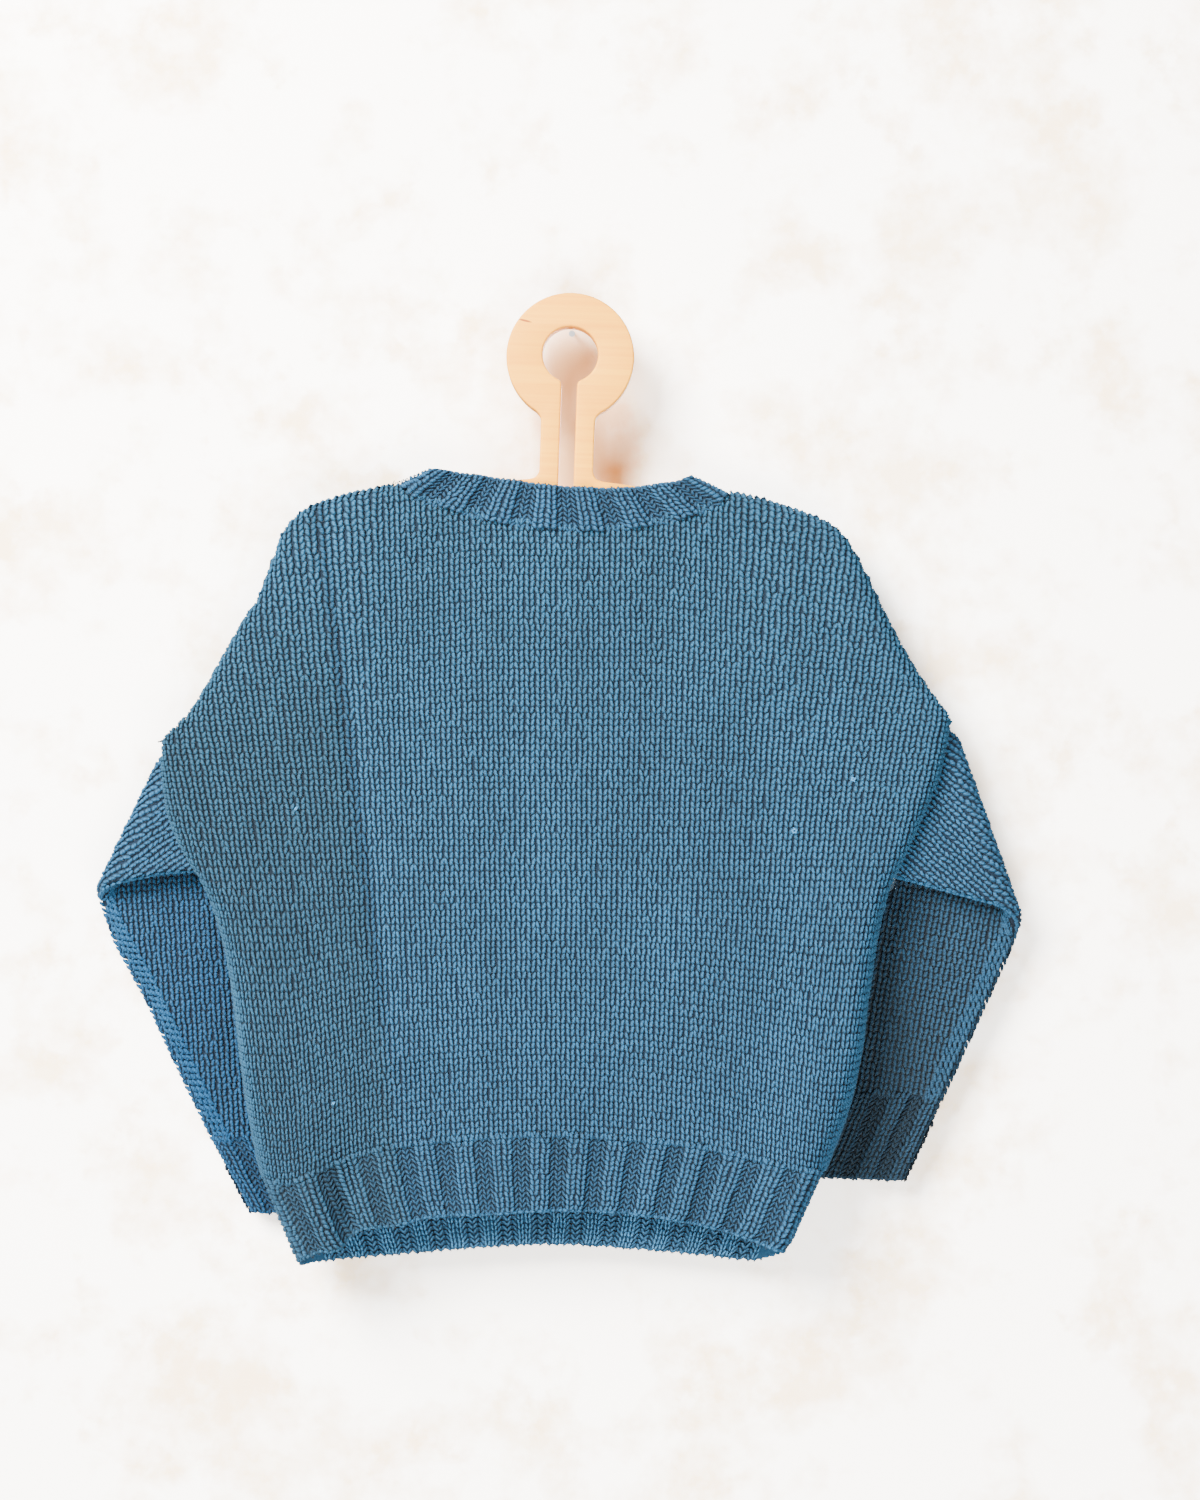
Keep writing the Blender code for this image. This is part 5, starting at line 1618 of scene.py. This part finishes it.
def steel_nail(wall_gap):
    """The nail that holds the ring: a thin head before the board and a shaft back to the wall."""
    shape = bmesh.new()
    x, z, head, shaft = NAIL
    face = -PLY / 2
    for radius, start, end, height in ((head, face - 1.6, face - 0.6, z),
                                       (shaft, face - 0.8, wall_gap / MM, z + head - shaft)):
        made = bmesh.ops.create_cone(shape, cap_ends=True, segments=20, radius1=radius * MM,
                                     radius2=radius * MM, depth=(end - start) * MM)
        bmesh.ops.rotate(shape, verts=made["verts"], matrix=Matrix.Rotation(pi / 2, 3, "X"))
        middle = (x * MM, (start + end) / 2 * MM, height * MM)
        bmesh.ops.translate(shape, verts=made["verts"], vec=middle)
    for vertex in shape.verts:
        vertex.co.z += (vertex.co.y + PLY / 2 * MM) * NAIL_LEAN
    steel = Finish("pale_steel")
    steel.set(Base_Color=(0.55, 0.56, 0.58, 1.0), Metallic=1.0, Roughness=0.35)
    new_object("nail", mesh_of(shape, "nail", steel.material, smooth=False))


class SWEATER_OT_stage(bpy.types.Operator):
    """Set up the wall, floor, light and camera."""

    bl_idname = "sweater.stage"
    bl_label = "Set Stage"

    def execute(self, context):
        scene = context.scene
        stage = scene.sweater_stage
        plaster, wall_plaster = plaster_materials()
        back = stage.wall_gap
        foot = [(-ROOM_HALF, back, FLOOR_LEVEL), (ROOM_HALF, back, FLOOR_LEVEL)]
        near = [(x, back - 2 * ROOM_HALF, z) for x, _, z in foot]
        top = [(x, back, WALL_TOP) for x, _, _ in foot]
        room_side("floor", near + foot[::-1], plaster, ("diffuse",))
        room_side("wall", foot + top[::-1], wall_plaster, ("diffuse", "glossy", "transmission", "shadow"))
        steel_nail(back)
        middle = Vector((PICTURE_CENTRE[0], 0.0, PICTURE_CENTRE[1])) * MM
        for name, place, size, share, colour in LAMPS:
            lamp = bpy.data.lights.new(name, "AREA")
            lamp.size = size
            lamp.energy = stage.light_power * share
            lamp.color = colour
            holder = new_object(name, lamp)
            holder.location = place
            holder.rotation_euler = (middle - holder.location).to_track_quat("-Z", "Y").to_euler()
        sky = bpy.data.worlds.new("pale_room")
        sky.use_nodes = True
        light = sky.node_tree.nodes["Background"].inputs
        light["Color"].default_value = SKY_COLOUR
        light["Strength"].default_value = SKY_STRENGTH
        scene.world = sky
        eye = bpy.data.cameras.new("eye")
        eye.sensor_fit = "VERTICAL"
        eye.sensor_height = SENSOR
        eye.lens = SENSOR * EYE_DISTANCE / (PIXEL * PICTURE_ROWS)
        camera = new_object("eye", eye)
        camera.location = (middle.x, -EYE_DISTANCE * MM, middle.z)
        camera.rotation_euler = (pi / 2, 0.0, 0.0)
        scene.camera = camera
        return {"FINISHED"}


class SWEATER_PT_steps(bpy.types.Panel):
    """The steps in the 3D view's sidebar, with the sizes and colours they use."""

    bl_idname = "SWEATER_PT_steps"
    bl_label = "Sweater"
    bl_space_type = "VIEW_3D"
    bl_region_type = "UI"
    bl_category = "Sweater"

    def draw(self, context):
        for step in STEPS:
            self.layout.operator(step.bl_idname)
        for key, settings in SETTINGS.items():
            box = self.layout.box()
            for name in settings.__annotations__:
                box.prop(getattr(context.scene, key), name)


STEPS = (SWEATER_OT_body, SWEATER_OT_welts, SWEATER_OT_neckband, SWEATER_OT_sleeves, SWEATER_OT_hanger,
         SWEATER_OT_stage)
SETTINGS = {"sweater_knit": KnitSettings, "sweater_hanger": HangerSettings, "sweater_stage": StageSettings}


def register():
    for cls in (*SETTINGS.values(), *STEPS, SWEATER_PT_steps):
        bpy.utils.register_class(cls)
    for name, cls in SETTINGS.items():
        setattr(bpy.types.Scene, name, bpy.props.PointerProperty(type=cls))


def unregister():
    for name in SETTINGS:
        delattr(bpy.types.Scene, name)
    for cls in reversed((*SETTINGS.values(), *STEPS, SWEATER_PT_steps)):
        bpy.utils.unregister_class(cls)


def main():
    register()
    for step in STEPS:
        group, name = step.bl_idname.split(".")
        getattr(getattr(bpy.ops, group), name)()
    close_kit()


if __name__ == "__main__":
    main()
